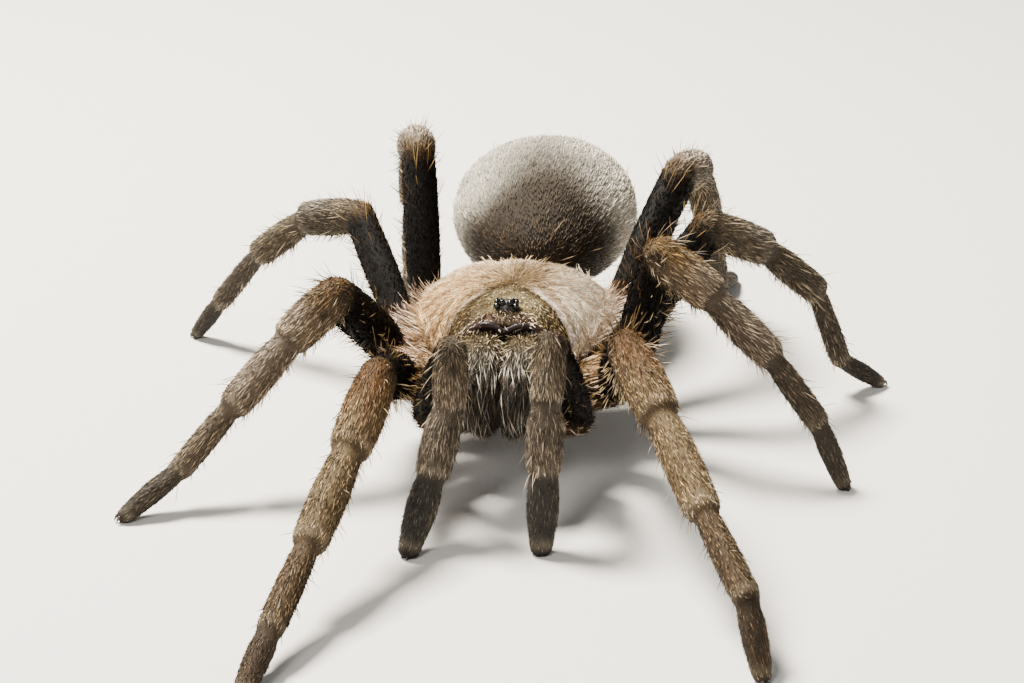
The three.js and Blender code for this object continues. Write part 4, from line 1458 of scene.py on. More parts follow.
        # the pale hair and painted highlight along the groove's edge
        pelt.tint(0xFFF6F2, 0.98 * line)
        pelt.stain(0xE4CEBE, 0.9 * line)
        pelt.under = mix(mix(mix(0.3, 0.9, sunny), 0.1, head), 0.8, line)
        front = ramp(share, 0.055, 0.03) + ramp(np.abs(x), 3.2, 1.6) * ramp(share, 0.1, 0.06)
        front = np.clip(front, 0, 1)
        pelt.stain(0x120905, 0.98 * front)
        pelt.tint(0x6A4428, 0.8 * front)
        pelt.reach = mix(1.0, 1.9, rim * ramp(share, 0.15, 0.3))
        pelt.reach = mix(pelt.reach, 0.7, head)
        pelt.lean = mix(mix(16.0, 24.0, rim), 22.0, head)
        crown = head * (1 - front)
        pelt.plume = 4.5 * front * ramp(u, 0.98, 0.9) + 1.5 * crown + 0.35 * rim * ramp(share, 0.2, 0.35)
        pelt.plume_reach = mix(mix(2.3, 0.75, crown), 1.0, front)
        pelt.plume_lean = mix(mix(24.0, 26.0, crown), 50.0, front)
        pelt.plume_dark = mix(blend(0x9A7646, 0x4E4222, crown), tone(0x1E1009), front)
        crowned = blend(0xEADDB8, 0x94804E, margin)
        pelt.plume_light = mix(mix(tone(0xF4DFC0), crowned, crown), tone(0xF6E2CA), front)
        # painted shade: the plate's underside and its front face under the lip are bare and near black, as
        # the shade in the gap under the lip
        bare_in_shade = (own[:, 2] < 0.1) | (share < 0.002)
        pelt.thick = np.where(bare_in_shade, 0.0, mix(mix(1.0, 0.8, head), 0.25, front))
        pelt.plume[bare_in_shade] = 0.0
        pelt.dark[bare_in_shade] = tone(0x120C09)
        pelt.light[bare_in_shade] = tone(0x120C09)

    def chelicera(self, at: Patch, pelt: Pelt) -> None:
        """Cream above, long and dark with silver hairs below."""
        share, up = at.share, at.up
        low = ramp(share, 0.3, 0.62)
        inner = ramp(np.sin(at.turn), -0.3, -0.8)
        blotch = at.blotch(0.8, 21)
        pelt.dark = blend(0x1E160A, 0x0A0806, low)
        pelt.light = blend(0x8E7A54, 0xA89F90, low * mix(0.5, 1.0, blotch))
        pelt.tint(0x4E463A, ramp(share, 0.62, 0.9))
        pelt.light = mix(pelt.light, blend(0x7A4030, 0x3A2C20, ramp(share, 0.3, 0.5)), 0.85 * inner)
        pelt.stain(0x080504, 0.8 * inner)
        pelt.tint(0x4A3E31, ramp(up, 0.0, -0.7))
        pelt.reach = mix(0.6, 1.7, low)
        pelt.lean = mix(58, 16, low)
        pelt.thick = mix(mix(0.42, 0.8, low), 0.3, inner)
        pelt.under = mix(0.0, 0.12, low)
        pelt.plume = mix(4.5, 2.2, low) * ramp(share, 0.0, 0.08) * ramp(up, -0.6, 0.1) * (1 - 0.7 * inner)
        pelt.plume *= 1 - 0.35 * ramp(share, 0.65, 0.9)
        pelt.plume_reach = mix(0.7, 2.4, low)
        pelt.plume_lean = mix(50, 18, low)
        pelt.plume_dark = tone(0x2A2219)
        pelt.plume_light = blend(0xEEE6D4, 0xA49C8E, ramp(share, 0.6, 0.9))
        pelt.plume_light = mix(tone(0xF0DDB4), pelt.plume_light, low)

    def abdomen(self, at: Patch, pelt: Pelt) -> None:
        """Velvet: silver-cream, brown and darker in front and below; the brown is partly its own colour and
        partly painted shade.
        """
        x, y, z = (self.egg.axes().read(at.points) / np.array(self.egg.half_sizes)).T
        arch = np.hypot((x - 0.03) / 0.77, 0.9 * np.maximum(z, -0.1))
        # face: the brown front, partly the velvet's own brown and partly painted shade
        face = ramp(y, 0.3, -0.1) * ramp(arch, 1.12, 0.7)
        # deep: painted shade, darker low on the front
        deep = ramp(y, -0.3, -0.7) * ramp(z, 0.75, 0.2)
        stripe = bump(x, 0.0, 0.16) * ramp(z, 0.4, 0.8) * ramp(y, -0.1, 0.2) * 0.3
        below = ramp(z, -0.35, -0.8)
        brown = np.clip(face + stripe + below, 0, 1)
        pelt.dark = blend(0x9E9686, 0x20180E, brown)
        pelt.stain(0x1A130A, deep)
        pelt.light = blend(0xE8E3D6, 0x362A16, 0.97 * brown)
        pelt.tint(0x3E2F1C, 0.9 * deep)
        pelt.light = pelt.light * (0.9 + 0.15 * at.blotch(2.2, 31))[:, None]
        pelt.reach = mix(1.0, 0.9, brown)
        pelt.plume = 0.05 * ramp(z, -0.6, 0.2) * (1 - 0.6 * brown)
        pelt.plume_reach = 2.2
        pelt.plume_lean = 34.0
        pelt.plume_light = blend(0xEEE9DC, 0x8A7454, brown)
        pelt.plume_dark = pelt.dark

    def core(self, at: Patch, pelt: Pelt) -> None:
        """The dark felt between the coxae and on the sternum."""
        pelt.dark = tone(0x1A130E)
        pelt.light = blend(0x3E3021, 0x5E4A31, at.blotch(1.6, 41))
        pelt.plume = 0.1

    def spinneret(self, at: Patch, pelt: Pelt) -> None:
        """Brown felt, with darker rings at the joints."""
        ring = bump(at.share, 0.36, 0.05) + bump(at.share, 0.7, 0.05)
        pelt.dark = tone(0x3A2F21)
        pelt.light = blend(0x9A8867, 0x4A3E2D, 0.8 * ring)
        pelt.reach = 0.8


# ---------- Nodes as expressions ----------


@dataclass(frozen=True)
class Wire:
    """An output socket that takes part in Python expressions."""

    graph: "Graph"
    socket: bpy.types.NodeSocket

    @property
    def wide(self) -> bool:
        """Whether it carries a vector or a colour."""
        return self.socket.type in {"VECTOR", "RGBA", "ROTATION"}

    def other(self, output: str) -> "Wire":
        """Another output of the same node."""
        return Wire(self.graph, self.graph.find(self.socket.node.outputs, output))

    def __add__(self, term: Any) -> "Wire":
        """Add."""
        return self.graph.maths("ADD", self, term)

    def __radd__(self, term: Any) -> "Wire":
        """Add, reflected."""
        return self.graph.maths("ADD", term, self)

    def __sub__(self, term: Any) -> "Wire":
        """Subtract."""
        return self.graph.maths("SUBTRACT", self, term)

    def __rsub__(self, term: Any) -> "Wire":
        """Subtract, reflected."""
        return self.graph.maths("SUBTRACT", term, self)

    def __mul__(self, term: Any) -> "Wire":
        """Multiply."""
        return self.graph.maths("MULTIPLY", self, term)

    def __rmul__(self, term: Any) -> "Wire":
        """Multiply, reflected."""
        return self.graph.maths("MULTIPLY", term, self)


@dataclass
class Graph:
    """A node tree that is written as expressions."""

    tree: bpy.types.NodeTree

    @staticmethod
    def find(sockets: Any, key: int | str) -> bpy.types.NodeSocket:
        """Find a socket by its number, or the shown one by its name."""
        if isinstance(key, int):
            return sockets[key]
        named = [s for s in sockets if s.name == key]
        return next((s for s in named if s.enabled), named[0])

    def node(
        self, kind: str, settings: dict | None = None, sockets: dict | None = None, output: int | str = 0
    ) -> Wire:
        """Add a node.

        Args:
            kind: The node's type.
            settings: Its settings, which are set first; stops are a colour ramp's places and colours.
            sockets: Values or wires for its inputs, by name or number.
            output: The output to return.

        Returns:
            That output.
        """
        made = self.tree.nodes.new(kind)
        for name, value in (settings or {}).items():
            if name == "stops":
                ramp_stops(made.color_ramp, value)
            else:
                setattr(made, name, value)
        for key, value in (sockets or {}).items():
            socket = self.find(made.inputs, key)
            if isinstance(value, Wire):
                self.tree.links.new(value.socket, socket)
            else:
                socket.default_value = value
        return Wire(self, self.find(made.outputs, output))

    def maths(self, operation: str, *terms: Any, output: int | str = 0) -> Wire:
        """Add a Math or Vector Math node for some terms.

        Args:
            operation: The node's operation.
            terms: Wires, numbers or rows of three.
            output: The output to return.

        Returns:
            The result.
        """
        wide = any(t.wide if isinstance(t, Wire) else hasattr(t, "__len__") for t in terms)
        kind = "ShaderNodeVectorMath" if wide else "ShaderNodeMath"
        return self.node(kind, {"operation": operation}, dict(enumerate(terms)), output)

    def dot(self, first: Wire, second: Wire) -> Wire:
        """The dot product of two vectors."""
        return self.maths("DOT_PRODUCT", first, second, output="Value")

    def noise(self, place: Wire, scale: float, detail: float, output: str = "Fac") -> Wire:
        """Noise with some waves to the metre."""
        sockets = {"Vector": place, "Scale": scale, "Detail": detail}
        return self.node("ShaderNodeTexNoise", {}, sockets, output)

    def bumps(self, height: Wire, strength: float, depth: float) -> Wire:
        """A bump node; its depth is in metres."""
        sockets = {"Height": height, "Strength": strength, "Distance": depth}
        return self.node("ShaderNodeBump", {}, sockets, "Normal")

    def step(self, value: Wire, low: float, high: float) -> Wire:
        """Rise smoothly from 0 at low to 1 at high."""
        settings = {"interpolation_type": "SMOOTHSTEP"}
        return self.node("ShaderNodeMapRange", settings, {0: value, 1: low, 2: high})


def ramp_stops(colour_ramp: bpy.types.ColorRamp, stops: Sequence[tuple[float, Sequence[float]]]) -> None:
    """Set a colour ramp's stops.

    Args:
        colour_ramp: The ramp.
        stops: Place and colour of each stop.
    """
    while len(colour_ramp.elements) < len(stops):
        colour_ramp.elements.new(0.5)
    for element, (place, colour) in zip(colour_ramp.elements, stops):
        element.position = place
        element.color = (*colour[:3], 1.0)


# ---------- Finishes ----------


@dataclass(frozen=True)
class Finish:
    """What every finish does to make its material, which has its name."""

    name: str

    def shader(self, g: Graph, place: Wire) -> dict[str, Any]:
        """The values and wires of the shader's sockets; place is the place on the piece."""
        raise NotImplementedError

    def material(self) -> Material:
        """Make the material."""
        made = bpy.data.materials.new(self.name)
        made.use_nodes = True
        made.node_tree.nodes.clear()
        g = Graph(made.node_tree)
        sockets = self.shader(g, g.node("ShaderNodeTexCoord", output="Object"))
        shader = g.node("ShaderNodeBsdfPrincipled", {}, sockets)
        g.tree.links.new(shader.socket, g.tree.nodes.new("ShaderNodeOutputMaterial").inputs["Surface"])
        return made


@dataclass(frozen=True)
class Fur(Finish):
    """The finish of skin and hair, whose colour is an attribute of the mesh."""

    roughness: float = 0.5
    gloss: float = 0.12
    shade: float = 1.0  # how dark it is beside the attribute
    grain: float = 0.0  # how strong the bump of the shortest fur is

    def shader(self, g: Graph, place: Wire) -> dict[str, Any]:
        """The values and wires of the shader's sockets."""
        colour = g.node("ShaderNodeAttribute", {"attribute_name": TONES}, output="Color")
        sockets: dict[str, Any] = {
            "Base Color": colour * ((g.noise(place, 900.0, 3.0) * 0.7 + 0.65) * self.shade),
            "Roughness": self.roughness,
            "Specular IOR Level": self.gloss,
        }
        if self.grain:
            sockets["Normal"] = g.bumps(g.noise(place, 5200.0, 4.0), self.grain, 0.0001)
        return sockets


@dataclass(frozen=True)
class Horn(Finish):
    """The finish of bare, hard pieces: eyes, fangs, claws and the lip of the head."""

    deep: int
    warm: int  # the colour of its soft blotches
    roughness: float
    coat: float = 0.0  # how strong its clear coat is
    grain: float = 0.0  # how strong its fine bump is

    def shader(self, g: Graph, place: Wire) -> dict[str, Any]:
        """The values and wires of the shader's sockets."""
        stops = [(0.35, tone(self.deep)), (0.7, tone(self.warm))]
        cloud = g.noise(place, 700.0, 3.0)
        return {
            "Base Color": g.node("ShaderNodeValToRGB", {"stops": stops}, {"Fac": cloud}, "Color"),
            "Roughness": self.roughness,
            "Coat Weight": self.coat,
            "Coat Roughness": 0.05,
            "Normal": g.bumps(g.noise(place, 3500.0, 3.0), self.grain, 0.00005),
        }


# ---------- Coat ----------


@dataclass(frozen=True)
class Layer:
    """One layer of the coat.

    Attributes:
        tier: Which layer it is.
        density: Hairs to the square millimetre at full thickness.
        bends: How many lengths each hair has.
        width: The width of a hair at its root, in millimetres.
        bend: How far it bows down towards the skin, in degrees.
        scatter: How far its direction strays.
        clump: How far neighbours stray together.
        vary: How far its length varies, as a share.
        seed: The seed of its random draws.
    """

    tier: Tier
    density: float
    bends: int
    width: float
    bend: float
    scatter: float
    clump: float
    vary: float
    seed: int


LAYERS = (
    Layer(Tier.UNDER, 10.0, 1, 0.17, 8.0, 0.30, 0.2, 0.3, 3),
    Layer(Tier.OVER, 10.0, 2, 0.12, 24.0, 0.2, 0.26, 0.35, 7),
    Layer(Tier.BRISTLE, 2.2, 3, 0.12, 20.0, 0.35, 0.2, 0.35, 13),
)


class HairTree(Graph):
    """Geometry Nodes that root a hair at every scattered point of a surface.

    The surface's vertices carry lie, lean, reach, amount, root_tone, tip_tone and place.
    """

    SIZES = {
        "NodeSocketFloat": ("Density", "Width", "Bend", "Scatter", "Clump", "Vary", "Sunk", "Patch"),
        "NodeSocketInt": ("Bends", "Seed"),
        "NodeSocketMaterial": ("Finish",),
    }
    SUNK = 0.06 * MM  # how deep a hair's root lies
    PATCH = 0.0015  # the size of one hair on the map

    def __init__(self) -> None:
        """Build the tree."""
        super().__init__(bpy.data.node_groups.new("Hair", "GeometryNodeTree"))
        face = self.tree.interface
        face.new_socket("Geometry", in_out="INPUT", socket_type="NodeSocketGeometry")
        face.new_socket("Geometry", in_out="OUTPUT", socket_type="NodeSocketGeometry")
        self.sockets = {
            name: face.new_socket(name, in_out="INPUT", socket_type=kind).identifier
            for kind, names in self.SIZES.items()
            for name in names
        }
        entry = self.node("NodeGroupInput", output="Geometry")
        hairs = self.bend(entry, self.stand(entry, self.scatter(entry)))
        dressed = {"Geometry": hairs, "Material": entry.other("Finish")}
        done = self.node("GeometryNodeSetMaterial", {}, dressed)
        end = self.tree.nodes.new("NodeGroupOutput")
        self.tree.links.new(done.socket, end.inputs["Geometry"])

    def read(self, name: str, kind: str = "FLOAT_VECTOR") -> Wire:
        """Read a named attribute."""
        return self.node("GeometryNodeInputNamedAttribute", {"data_type": kind}, {"Name": name}, "Attribute")

    def store(
        self, geometry: Wire, name: str, value: Wire, kind: str = "FLOAT_VECTOR", domain: str = "POINT"
    ) -> Wire:
        """Store a named attribute.

        Args:
            geometry: The geometry to store it on.
            name: Its name.
            value: Its value.
            kind: Its data type.
            domain: What it has one value for.

        Returns:
            The geometry that carries it.
        """
        settings = {"data_type": kind, "domain": domain}
        sockets = {"Geometry": geometry, "Name": name, "Value": value}
        return self.node("GeometryNodeStoreNamedAttribute", settings, sockets, "Geometry")

    def scatter(self, entry: Wire) -> Wire:
        """Scatter roots over the surface."""
        density = self.read("amount", "FLOAT") * entry.other("Density")
        sockets = {"Mesh": entry, "Density": density, "Seed": entry.other("Seed")}
        roots = self.node("GeometryNodeDistributePointsOnFaces", {}, sockets, "Points")
        points = self.store(roots, "up", roots.other("Normal"))
        points = self.store(points, "stand", self.node("GeometryNodeInputPosition"))
        dice = self.node(
            "FunctionNodeRandomValue",
            {"data_type": "FLOAT_VECTOR"},
            {"Min": (-1, -1, -1), "Max": (1, 1, 1), "Seed": entry.other("Seed")},
            "Value",
        )
        return self.store(points, "dice", dice)

    def stand(self, entry: Wire, points: Wire) -> Wire:
        """Put a three-sided cone on every root, and make them real."""
        sizes = {"Vertices": 3, "Side Segments": entry.other("Bends"), "Radius Bottom": 1.0, "Depth": 1.0}
        cone = self.node("GeometryNodeMeshCone", {}, {**sizes, "Radius Top": 0.0}, "Mesh")
        cone = self.store(cone, "unit", self.node("GeometryNodeInputPosition"))
        stood = self.node("GeometryNodeInstanceOnPoints", {}, {"Points": points, "Instance": cone})
        return self.node("GeometryNodeRealizeInstances", {}, {"Geometry": stood}, "Geometry")

    def bend(self, entry: Wire, hairs: Wire) -> Wire:
        """Lay every hair down along the coat, bow it, taper it, and give it its colours."""
        up, stand, dice = (self.read(name) for name in ("up", "stand", "dice"))
        cone = self.node("ShaderNodeSeparateXYZ", {}, {"Vector": self.read("unit")}, "X")
        throw = self.node("ShaderNodeSeparateXYZ", {}, {"Vector": dice}, "X")
        t = cone.other("Z")
        drift = self.noise(stand, 1300.0, 1.0, "Color") - (0.5, 0.5, 0.5)
        stray = drift * (entry.other("Clump") * 2.0) + dice * entry.other("Scatter")
        lie = self.read("lie") + stray
        level = self.maths("NORMALIZE", lie - up * self.dot(lie, up))
        across = self.maths("CROSS_PRODUCT", up, level)
        angle = self.read("lean", "FLOAT") * (throw.other("Y") * 0.35 + 1.0)
        half = angle - entry.other("Bend") * t * 0.5
        steep = angle - entry.other("Bend") * t
        length = self.read("reach", "FLOAT") * (throw.other("Z") * entry.other("Vary") + 1.0)
        run = length * t
        line = level * (run * self.maths("COSINE", half)) + up * (run * self.maths("SINE", half))
        thick = entry.other("Width") * (t * 1.4 + 0.6)
        side = across * (cone * thick)
        face = up * self.maths("COSINE", steep) - level * self.maths("SINE", steep)
        face = face * (cone.other("Y") * thick)
        root = stand - up * entry.other("Sunk")
        place = root + line + side + face
        moved = self.node("GeometryNodeSetPosition", {}, {"Geometry": hairs, "Position": place})
        bright = self.step(throw, -0.7, 0.3)
        tuft = self.step(self.noise(stand, 3600.0, 0.0), 0.34, 0.66)
        rise = self.step(t, 0.0, 0.6)
        shown = rise * (bright * 0.65 + tuft * 0.3 + 0.05)
        tones = {6: self.read("root_tone", "FLOAT_COLOR"), 7: self.read("tip_tone", "FLOAT_COLOR")}
        colour = self.node("ShaderNodeMix", {"data_type": "RGBA"}, {0: shown, **tones}, 2)
        lit = colour * (throw * 0.3 + tuft * 0.4 + 0.85)
        toned = self.store(moved, TONES, lit, "FLOAT_COLOR")
        patch = self.node("ShaderNodeCombineXYZ", {}, {"X": cone, "Y": t}) * entry.other("Patch")
        place = self.read("place") + patch
        return self.store(toned, BAKE_MAP, place, "FLOAT2", "CORNER")

    def grow(self, ground: Object, layer: Layer, finish: Material) -> Object:
        """Grow one layer on a surface.

        Args:
            ground: The surface, which is used up.
            layer: The layer's sizes.
            finish: Its material.

        Returns:
            The hairs as a plain mesh object.
        """
        nodes = ground.modifiers.new("hair", "NODES")
        nodes.node_group = self.tree
        values = {
            "Density": layer.density / MM**2,
            "Bends": layer.bends,
            "Width": layer.width / 2 * MM,
            "Bend": math.radians(layer.bend),
            "Scatter": layer.scatter,
            "Clump": layer.clump,
            "Vary": layer.vary,
            "Sunk": self.SUNK,
            "Patch": self.PATCH,
            "Seed": layer.seed,
            "Finish": finish,
        }
        for name, value in values.items():
            nodes[self.sockets[name]] = value
        return plain(ground, layer.tier.value)


@dataclass(frozen=True)
class Region:
    """One piece of the coat."""

    name: str
    slot: str
    chosen: Array  # whether each vertex of the surface is in it
    place: Array  # each vertex's place on its map
    finish: Material
    fine: float  # how much denser and finer than usual its hair is


class Coat:
    """The hair of the whole body."""

    KEPT = {TONES, BAKE_MAP, "material_index"}
    FLOOR = 0.02 * MM  # the least height of any hair

    def __init__(self) -> None:
        """Build the tree that grows it."""
        self.tree = HairTree()

    def piece(self, region: Region, skin: Surface, pelt: Pelt) -> Object:
        """Grow the coat of one region.

        Args:
            region: The region.
            skin: The surface that it grows on.
            pelt: The pelt at the surface's vertices.

        Returns:
            The piece.
        """
        grown = []
        for layer in LAYERS:
            hair = pelt.strands(layer.tier)
            if not (hair.amount * region.chosen).any():
                continue
            ground, kept = self.ground(skin, region.chosen)
            values = {
                "amount": hair.amount * region.chosen,
                "reach": hair.reach * MM,
                "lean": np.radians(hair.lean),
                "lie": skin.lie,
                "place": region.place,
                "root_tone": hair.root,
                "tip_tone": hair.tip,
            }
            for name, value in values.items():
                set_attribute(ground.data, name, value[kept])
            if layer.tier is not Tier.BRISTLE:
                fine = region.fine
                layer = replace(layer, density=layer.density * fine, width=layer.width / fine**0.5)
            grown.append(self.tree.grow(ground, layer, region.finish))
        made = joined(region.name, grown)
        self.trim(made)
        return made

    @staticmethod
    def ground(skin: Surface, chosen: Array) -> tuple[Object, Array]:
        """Copy the faces that have a chosen vertex.

        Args:
            skin: The surface.
            chosen: Whether each of its vertices is chosen.

        Returns:
            The copy, and the numbers of its vertices on the surface.
        """
        mesh = skin.piece.data
        mesh.calc_loop_triangles()
        corners = np.empty(len(mesh.loop_triangles) * 3, np.int32)
        mesh.loop_triangles.foreach_get("vertices", corners)
        corners = corners.reshape(-1, 3)
        corners = corners[chosen[corners].any(1)]
        kept, faces = np.unique(corners, return_inverse=True)
        return mesh_object("ground", coordinates(mesh)[kept], faces.reshape(-1, 3)), kept

    def trim(self, made: Object) -> None:
        """Keep hairs above the floor, and drop the attributes that only the growing needed."""
        mesh = made.data
        points = coordinates(mesh)
        points[:, 2] = np.maximum(points[:, 2], self.FLOOR)
        mesh.vertices.foreach_set("co", points.astype(np.float32).ravel())
        spare = [one.name for one in mesh.attributes if not (one.name.startswith(".") or one.is_required)]
        for name in set(spare) - self.KEPT:
            mesh.attributes.remove(mesh.attributes[name])
        mesh.shade_smooth()
        mesh.update()


def joined(name: str, objects: Sequence[Object]) -> Object:
    """Join mesh objects into the first one.

    Args:
        name: The name that it gets.
        objects: The objects.

    Returns:
        The first object.
    """
    first = objects[0]
    if len(objects) > 1:
        with bpy.context.temp_override(
            active_object=first, object=first, selected_objects=objects, selected_editable_objects=objects
        ):
            bpy.ops.object.join()
    first.name = name
    first.data.name = name
    return first


def strip_map(skin: Surface, keys: Array) -> Array:
    """Lay the lengths of a region side by side on the unit square.

    Args:
        skin: The surface.
        keys: A number for each vertex that is the same all over one length.

    Returns:
        The place of each vertex, as rows of three.
    """
    _, column = np.unique(keys, return_inverse=True)
    margin, used = 0.04, 0.9
    across = (column + margin + used * (wrapped(skin.turn) / (2 * math.pi) + 0.5)) / (column.max() + 1)
    along = margin + used * np.clip(skin.share, 0, 1)
    return np.stack([across, along, np.zeros_like(along)], -1)


# ---------- The spider ----------


@dataclass(frozen=True)
class Claws:
    """The two small claws at the tip of each limb.

    Attributes:
        spread: How far they stand from the middle.
        root: How high above the middle they start.
        floor: The least height of any vertex.
    """

    length: float = 0.75
    radius: float = 0.14
    spread: float = 0.28
    root: float = 0.42
    floor: float = 0.03

    def build(self, tip: Length, side: float) -> Shape:
        """Shape one claw.

        Args:
            tip: The last length of its limb.
            side: On which side it stands, as the sign of its place.

        Returns:
            The claw.
        """
        s = np.linspace(0, 1, 9)
        turn = around(8)
        reach = tip.length + float(tip.radius(np.array([1.0]))[0]) * tip.blunt
        centre = np.stack([
            reach + self.length * np.sin(s * 1.3) * 0.9,
            np.full_like(s, side * self.spread),
            self.root - self.length * (1 - np.cos(s * 1.5)) * 0.75,
        ], -1)
        radius = self.radius * (1 - s**1.5) + 0.015
        rings = np.repeat(centre[:, None, :], len(turn), 1)
        rings[..., 1] += radius[:, None] * np.cos(turn)
        rings[..., 2] += radius[:, None] * np.sin(turn)
        own, faces = lofted(rings, np.array([centre[0] - [0.1, 0, 0], centre[-1] + [0.02, 0, 0]]))
        points = tip.axes.place(own)
        points[:, 2] = np.maximum(points[:, 2], self.floor)
        return points, faces


class Spider:
    """The whole model."""

    def __init__(self) -> None:
        """Lay out the body and find its place among the solids."""
        self.prosoma = Axes.pitched((0.0, 8.6, 12.0), 4.0)
        self.carapace = Carapace()
        self.head = Head()
        self.core = Core()
        self.abdomen = Abdomen()
        self.limbs = Limbs()
        self.placing = Placing(self.prosoma, self.core.front, self.core.top)

    def keep(self, made: Object, nodes: Sequence[str] = ()) -> None:
        """Fix a piece to the body and the solids that it stands for, and report it.

        Args:
            made: The piece.
            nodes: The solids that it replaces.
        """
        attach(made, "root")
        if nodes:
            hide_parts(*nodes)
        LOG.info("%s: %d triangles", made.name, sum(len(p.vertices) - 2 for p in made.data.polygons))

    def solid(self, name: str, shapes: Sequence[Shape], finish: Finish) -> Object:
        """Make one piece of some closed shapes.

        Args:
            name: The piece's name.
            shapes: The shapes.
            finish: Its finish.

        Returns:
            The piece.
        """
        points, faces = merged(shapes)
        made = facing_out(mesh_object(name, self.placing.metres(points), faces))
        made.data.materials.append(finish.material())
        return made

    def build(self) -> None:
        """Build every piece."""
        plate, skin = self.plate(), self.skin()
        markings = Markings(self.carapace, self.abdomen, self.prosoma, self.limbs.names())
        # the skin is drawn at 0.6 of its colour: painted shade between the hairs
        hide = Fur("felted_skin", 0.75, 0.15, 0.6, 0.5).material()
        plate_pelt = markings.pelt(plate)
        skin_pelt = markings.pelt(skin).eased(skin.piece.data, 2)
        for surface, pelt in ((plate, plate_pelt), (skin, skin_pelt)):
            mesh = surface.piece.data
            set_attribute(mesh, TONES, mix(pelt.dark, pelt.light, 0.25))
            mesh.materials.clear()
            mesh.materials.append(hide)
        self.keep(plate.piece, ["carapace"])
        bare = {"carapace", "eye_turret", "fang_left", "fang_right"}
        self.keep(skin.piece, sorted(set(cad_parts) - bare))
        self.hard_pieces()
        hair = Fur("hair", 0.5, 0.25).material()
        black_hair = Fur("black_hair", 0.6, 0.06).material()
        coat = Coat()
        shield = self.shield_region(plate, hair)
        self.keep(coat.piece(shield, plate, plate_pelt))
        for region in self.regions(skin, hair, black_hair):
            self.keep(coat.piece(region, skin, skin_pelt))

    def plate(self) -> Surface:
        """Shape the carapace plate."""
        loft = self.carapace.loft(self.prosoma)
        piece = facing_out(mesh_object("carapace_plate", self.placing.metres(loft.points), loft.faces))
        return Surface.over(piece, coordinates(piece.data) / MM - self.placing.offset, [loft])

    def skin(self) -> Surface:
        """Shape the skin of all else."""
        lofts = [self.core.loft(self.prosoma), self.abdomen.body(), self.abdomen.stalk()]
        lofts += self.abdomen.spinnerets()
        lofts += [self.head.chelicera(side, self.prosoma) for side in SIDES]
        lofts += [one.loft() for one in self.limbs.lengths()]
        return Skin().build("skin", lofts, self.placing)

    def hard_pieces(self) -> None:
        """Make the eyes, their mound, the lip, the fangs and the claws."""
        glass = Horn("eye_glass", 0x030303, 0x080606, 0.08)
        mound = Horn("turret_shell", 0x0E0B09, 0x241C15, 0.4, 0.0, 0.5)
        lip = Horn("lip_shell", 0x120A0E, 0x2A1824, 0.42, 0.0, 0.8)
        horn = Horn("fang_horn", 0x0C0706, 0x2A120C, 0.18, 0.6, 0.1)
        claw = Horn("claw_horn", 0x120D0A, 0x33241A, 0.3, 0.2, 0.1)
        axes = self.prosoma
        self.keep(self.solid("eyes", self.head.eyes(self.carapace, axes), glass), ["eye_turret"])
        self.keep(self.solid("eye_mound", [self.head.turret(self.carapace, axes)], mound))
        self.keep(self.solid("head_lip", [self.head.lip(self.carapace, axes)], lip))
        fangs = [self.head.fang(side, axes) for side in SIDES]
        self.keep(self.solid("fangs", fangs, horn), ["fang_left", "fang_right"])
        tips = [self.limbs.limb(number)[-1] for number in range(len(self.limbs.stances))]
        claws = [Claws().build(tip, side) for tip in tips for side in SIDES]
        self.keep(self.solid("claws", claws, claw))

    def shield_region(self, plate: Surface, hair: Material) -> Region:
        """The coat of the carapace, with its map as seen from above.

        Args:
            plate: The carapace plate.
            hair: The coat's material.

        Returns:
            The region.
        """
        along = (plate.points - self.prosoma.origin) @ self.prosoma.y / self.carapace.length + 0.5
        across = 0.5 + plate.points[:, 0] / self.carapace.length
        plan = np.stack([across, along, np.zeros_like(along)], -1)
        return Region("coat_carapace", "carapace", np.ones(len(along), bool), plan, hair, 2.3)

    def regions(self, skin: Surface, hair: Material, black: Material) -> list[Region]:
        """The pieces of coat on the skin.

        Args:
            skin: The skin.
            hair: The material of most.
            black: The material of the femora.

        Returns:
            The regions.
        """
        names = self.limbs.names()
        left = np.array(["left" in name for name in names])
        side = np.where(skin.limb >= 0, left[skin.limb], False)
        rows: list[tuple[str, str, Array, float]] = [
            ("chelicerae", "chelicera", skin.part == Part.CHELICERA, 2.6),
            ("abdomen", "abdomen", skin.part == Part.ABDOMEN, 0.8),
            ("spinnerets", "spinnerets", skin.part == Part.SPINNERET, 1.2),
            ("coxae", "sternum", (skin.part == Part.COXA) | (skin.part == Part.CORE), 0.75),
            ("femora_left", "femur", (skin.part == Part.FEMUR) & side, 0.8),
            ("femora_right", "femur", (skin.part == Part.FEMUR) & ~side, 0.8),
        ]
        for number, name in enumerate(names):
            outer = (skin.part > Part.FEMUR) & (skin.limb == number)
            rows.append((name, "limb", outer, 1.5 if name.startswith("palp") else 1.25))
        keys = skin.part * 100 + skin.limb + 1
        made = []
        for name, slot, chosen, fine in rows:
            place = strip_map(skin, np.where(chosen, keys, keys[chosen].min()))
            finish = black if slot == "femur" else hair
            made.append(Region(f"coat_{name}", slot, chosen, place, finish, fine))
        return made


# ---------- Stage ----------


@dataclass(frozen=True)
class Lamp:
    """A square lamp, with its place and the length of its side in metres and its power in watts."""

    name: str
    place: Sizes
    size: float
    power: float
    colour: Sizes

    def hang(self, aim: Vector) -> None:
        """Hang the lamp so that it shines at a point."""
        light = bpy.data.lights.new(self.name, "AREA")
        light.shape, light.size, light.energy, light.color = "SQUARE", self.size, self.power, self.colour
        at = Vector(self.place)
        turn = (at - aim).to_track_quat("Z", "Y")
        added(self.name, light).matrix_world = Matrix.LocRotScale(at, turn, None)


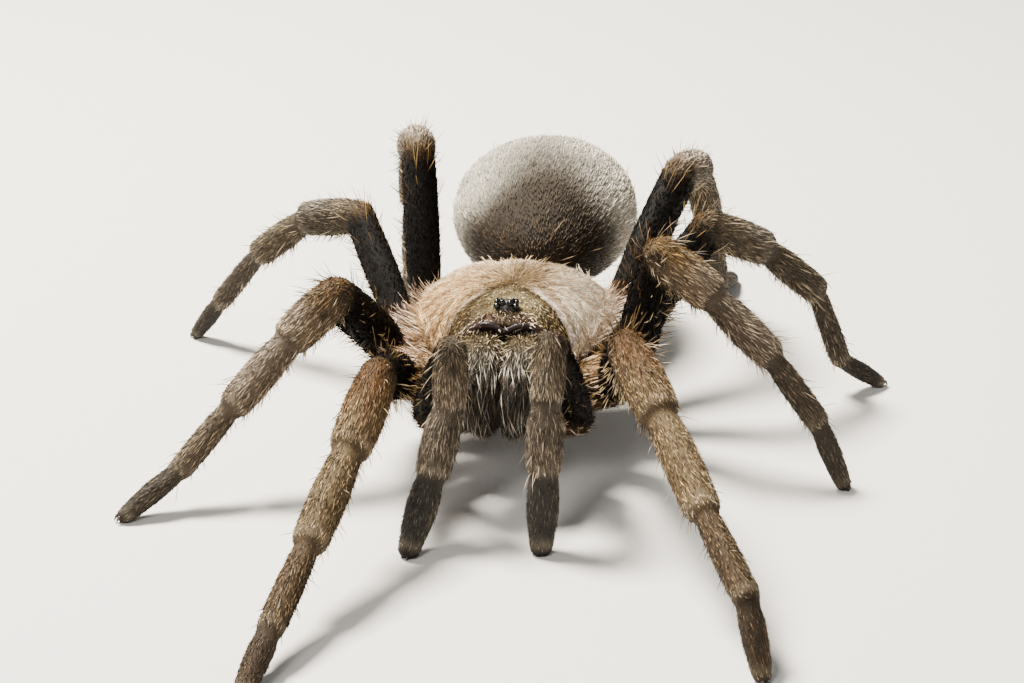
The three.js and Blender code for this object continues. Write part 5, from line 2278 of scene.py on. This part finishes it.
@dataclass(frozen=True)
class Stage:
    """The floor, the lights and the camera, with angles in degrees."""

    azimuth: float = 5.0  # how far the camera stands round to the spider's left
    elevation: float = 23.0
    distance: float = 220.0  # from the point that the camera looks at, in millimetres
    lens: float = 79.66  # the focal length for a sensor 36 mm wide
    aim: tuple[float, float] = (0.485, -3.738)  # rightwards and upwards from the eyes' height
    eye_height: float = 18.0
    floor_half: float = 1.5  # in metres
    lit_height: float = 0.012  # where the lamps point, in metres
    lamps: tuple[Lamp, ...] = (
        Lamp("key", (-0.18, 0.1, 0.41), 0.12, 13.0, (1.0, 0.93, 0.83)),
        Lamp("front", (-0.16, -0.4, 0.34), 0.14, 1.8, (1.0, 0.97, 0.92)),
        Lamp("fill", (0.38, -0.22, 0.2), 0.2, 0.4, (0.95, 0.97, 1.0)),
    )

    def build(self, placing: Placing) -> None:
        """Set the stage."""
        self.floor()
        self.camera(placing)
        self.sky()
        for lamp in self.lamps:
            lamp.hang(Vector((0, 0, self.lit_height)))

    def floor(self) -> None:
        """Lay a plain pale floor."""
        corners = self.floor_half * np.array([[-1, -1, 0], [1, -1, 0], [1, 1, 0], [-1, 1, 0]])
        floor = mesh_object("floor", corners, [(0, 1, 2, 3)])
        made = bpy.data.materials.new("pale_floor")
        made.use_nodes = True
        shader = made.node_tree.nodes["Principled BSDF"]
        shader.inputs["Base Color"].default_value = (0.68, 0.66, 0.63, 1.0)
        shader.inputs["Roughness"].default_value = 0.85
        floor.data.materials.append(made)

    def camera(self, placing: Placing) -> None:
        """Stand the camera in front of the spider and above it."""
        a, e = math.radians(self.azimuth), math.radians(self.elevation)
        back = Vector((math.sin(a) * math.cos(e), -math.cos(a) * math.cos(e), math.sin(e)))
        right = Vector((math.cos(a), math.sin(a), 0.0))
        up = right.cross(-back)
        aim = Vector((0, 0, self.eye_height)) + self.aim[0] * right + self.aim[1] * up
        place = Vector(placing.metres(np.array(aim + self.distance * back)))
        lens = bpy.data.cameras.new("camera")
        lens.lens, lens.sensor_width = self.lens, 36.0
        lens.clip_start, lens.clip_end = 0.005, 10.0
        made = added("camera", lens)
        made.matrix_world = Matrix.LocRotScale(place, back.to_track_quat("Z", "Y"), None)
        bpy.context.scene.camera = made

    @staticmethod
    def sky() -> None:
        """Spread a soft pale sky."""
        world = bpy.data.worlds.new("pale_sky")
        world.use_nodes = True
        light = world.node_tree.nodes["Background"]
        light.inputs["Color"].default_value = (0.97, 0.96, 0.94, 1.0)
        light.inputs["Strength"].default_value = 0.25
        bpy.context.scene.world = world


def main() -> None:
    """Dress the spider and set the stage."""
    logging.basicConfig(level=logging.INFO, format="%(message)s", stream=sys.stdout)
    spider = Spider()
    spider.build()
    Stage().build(spider.placing)


if __name__ == "__main__":
    main()
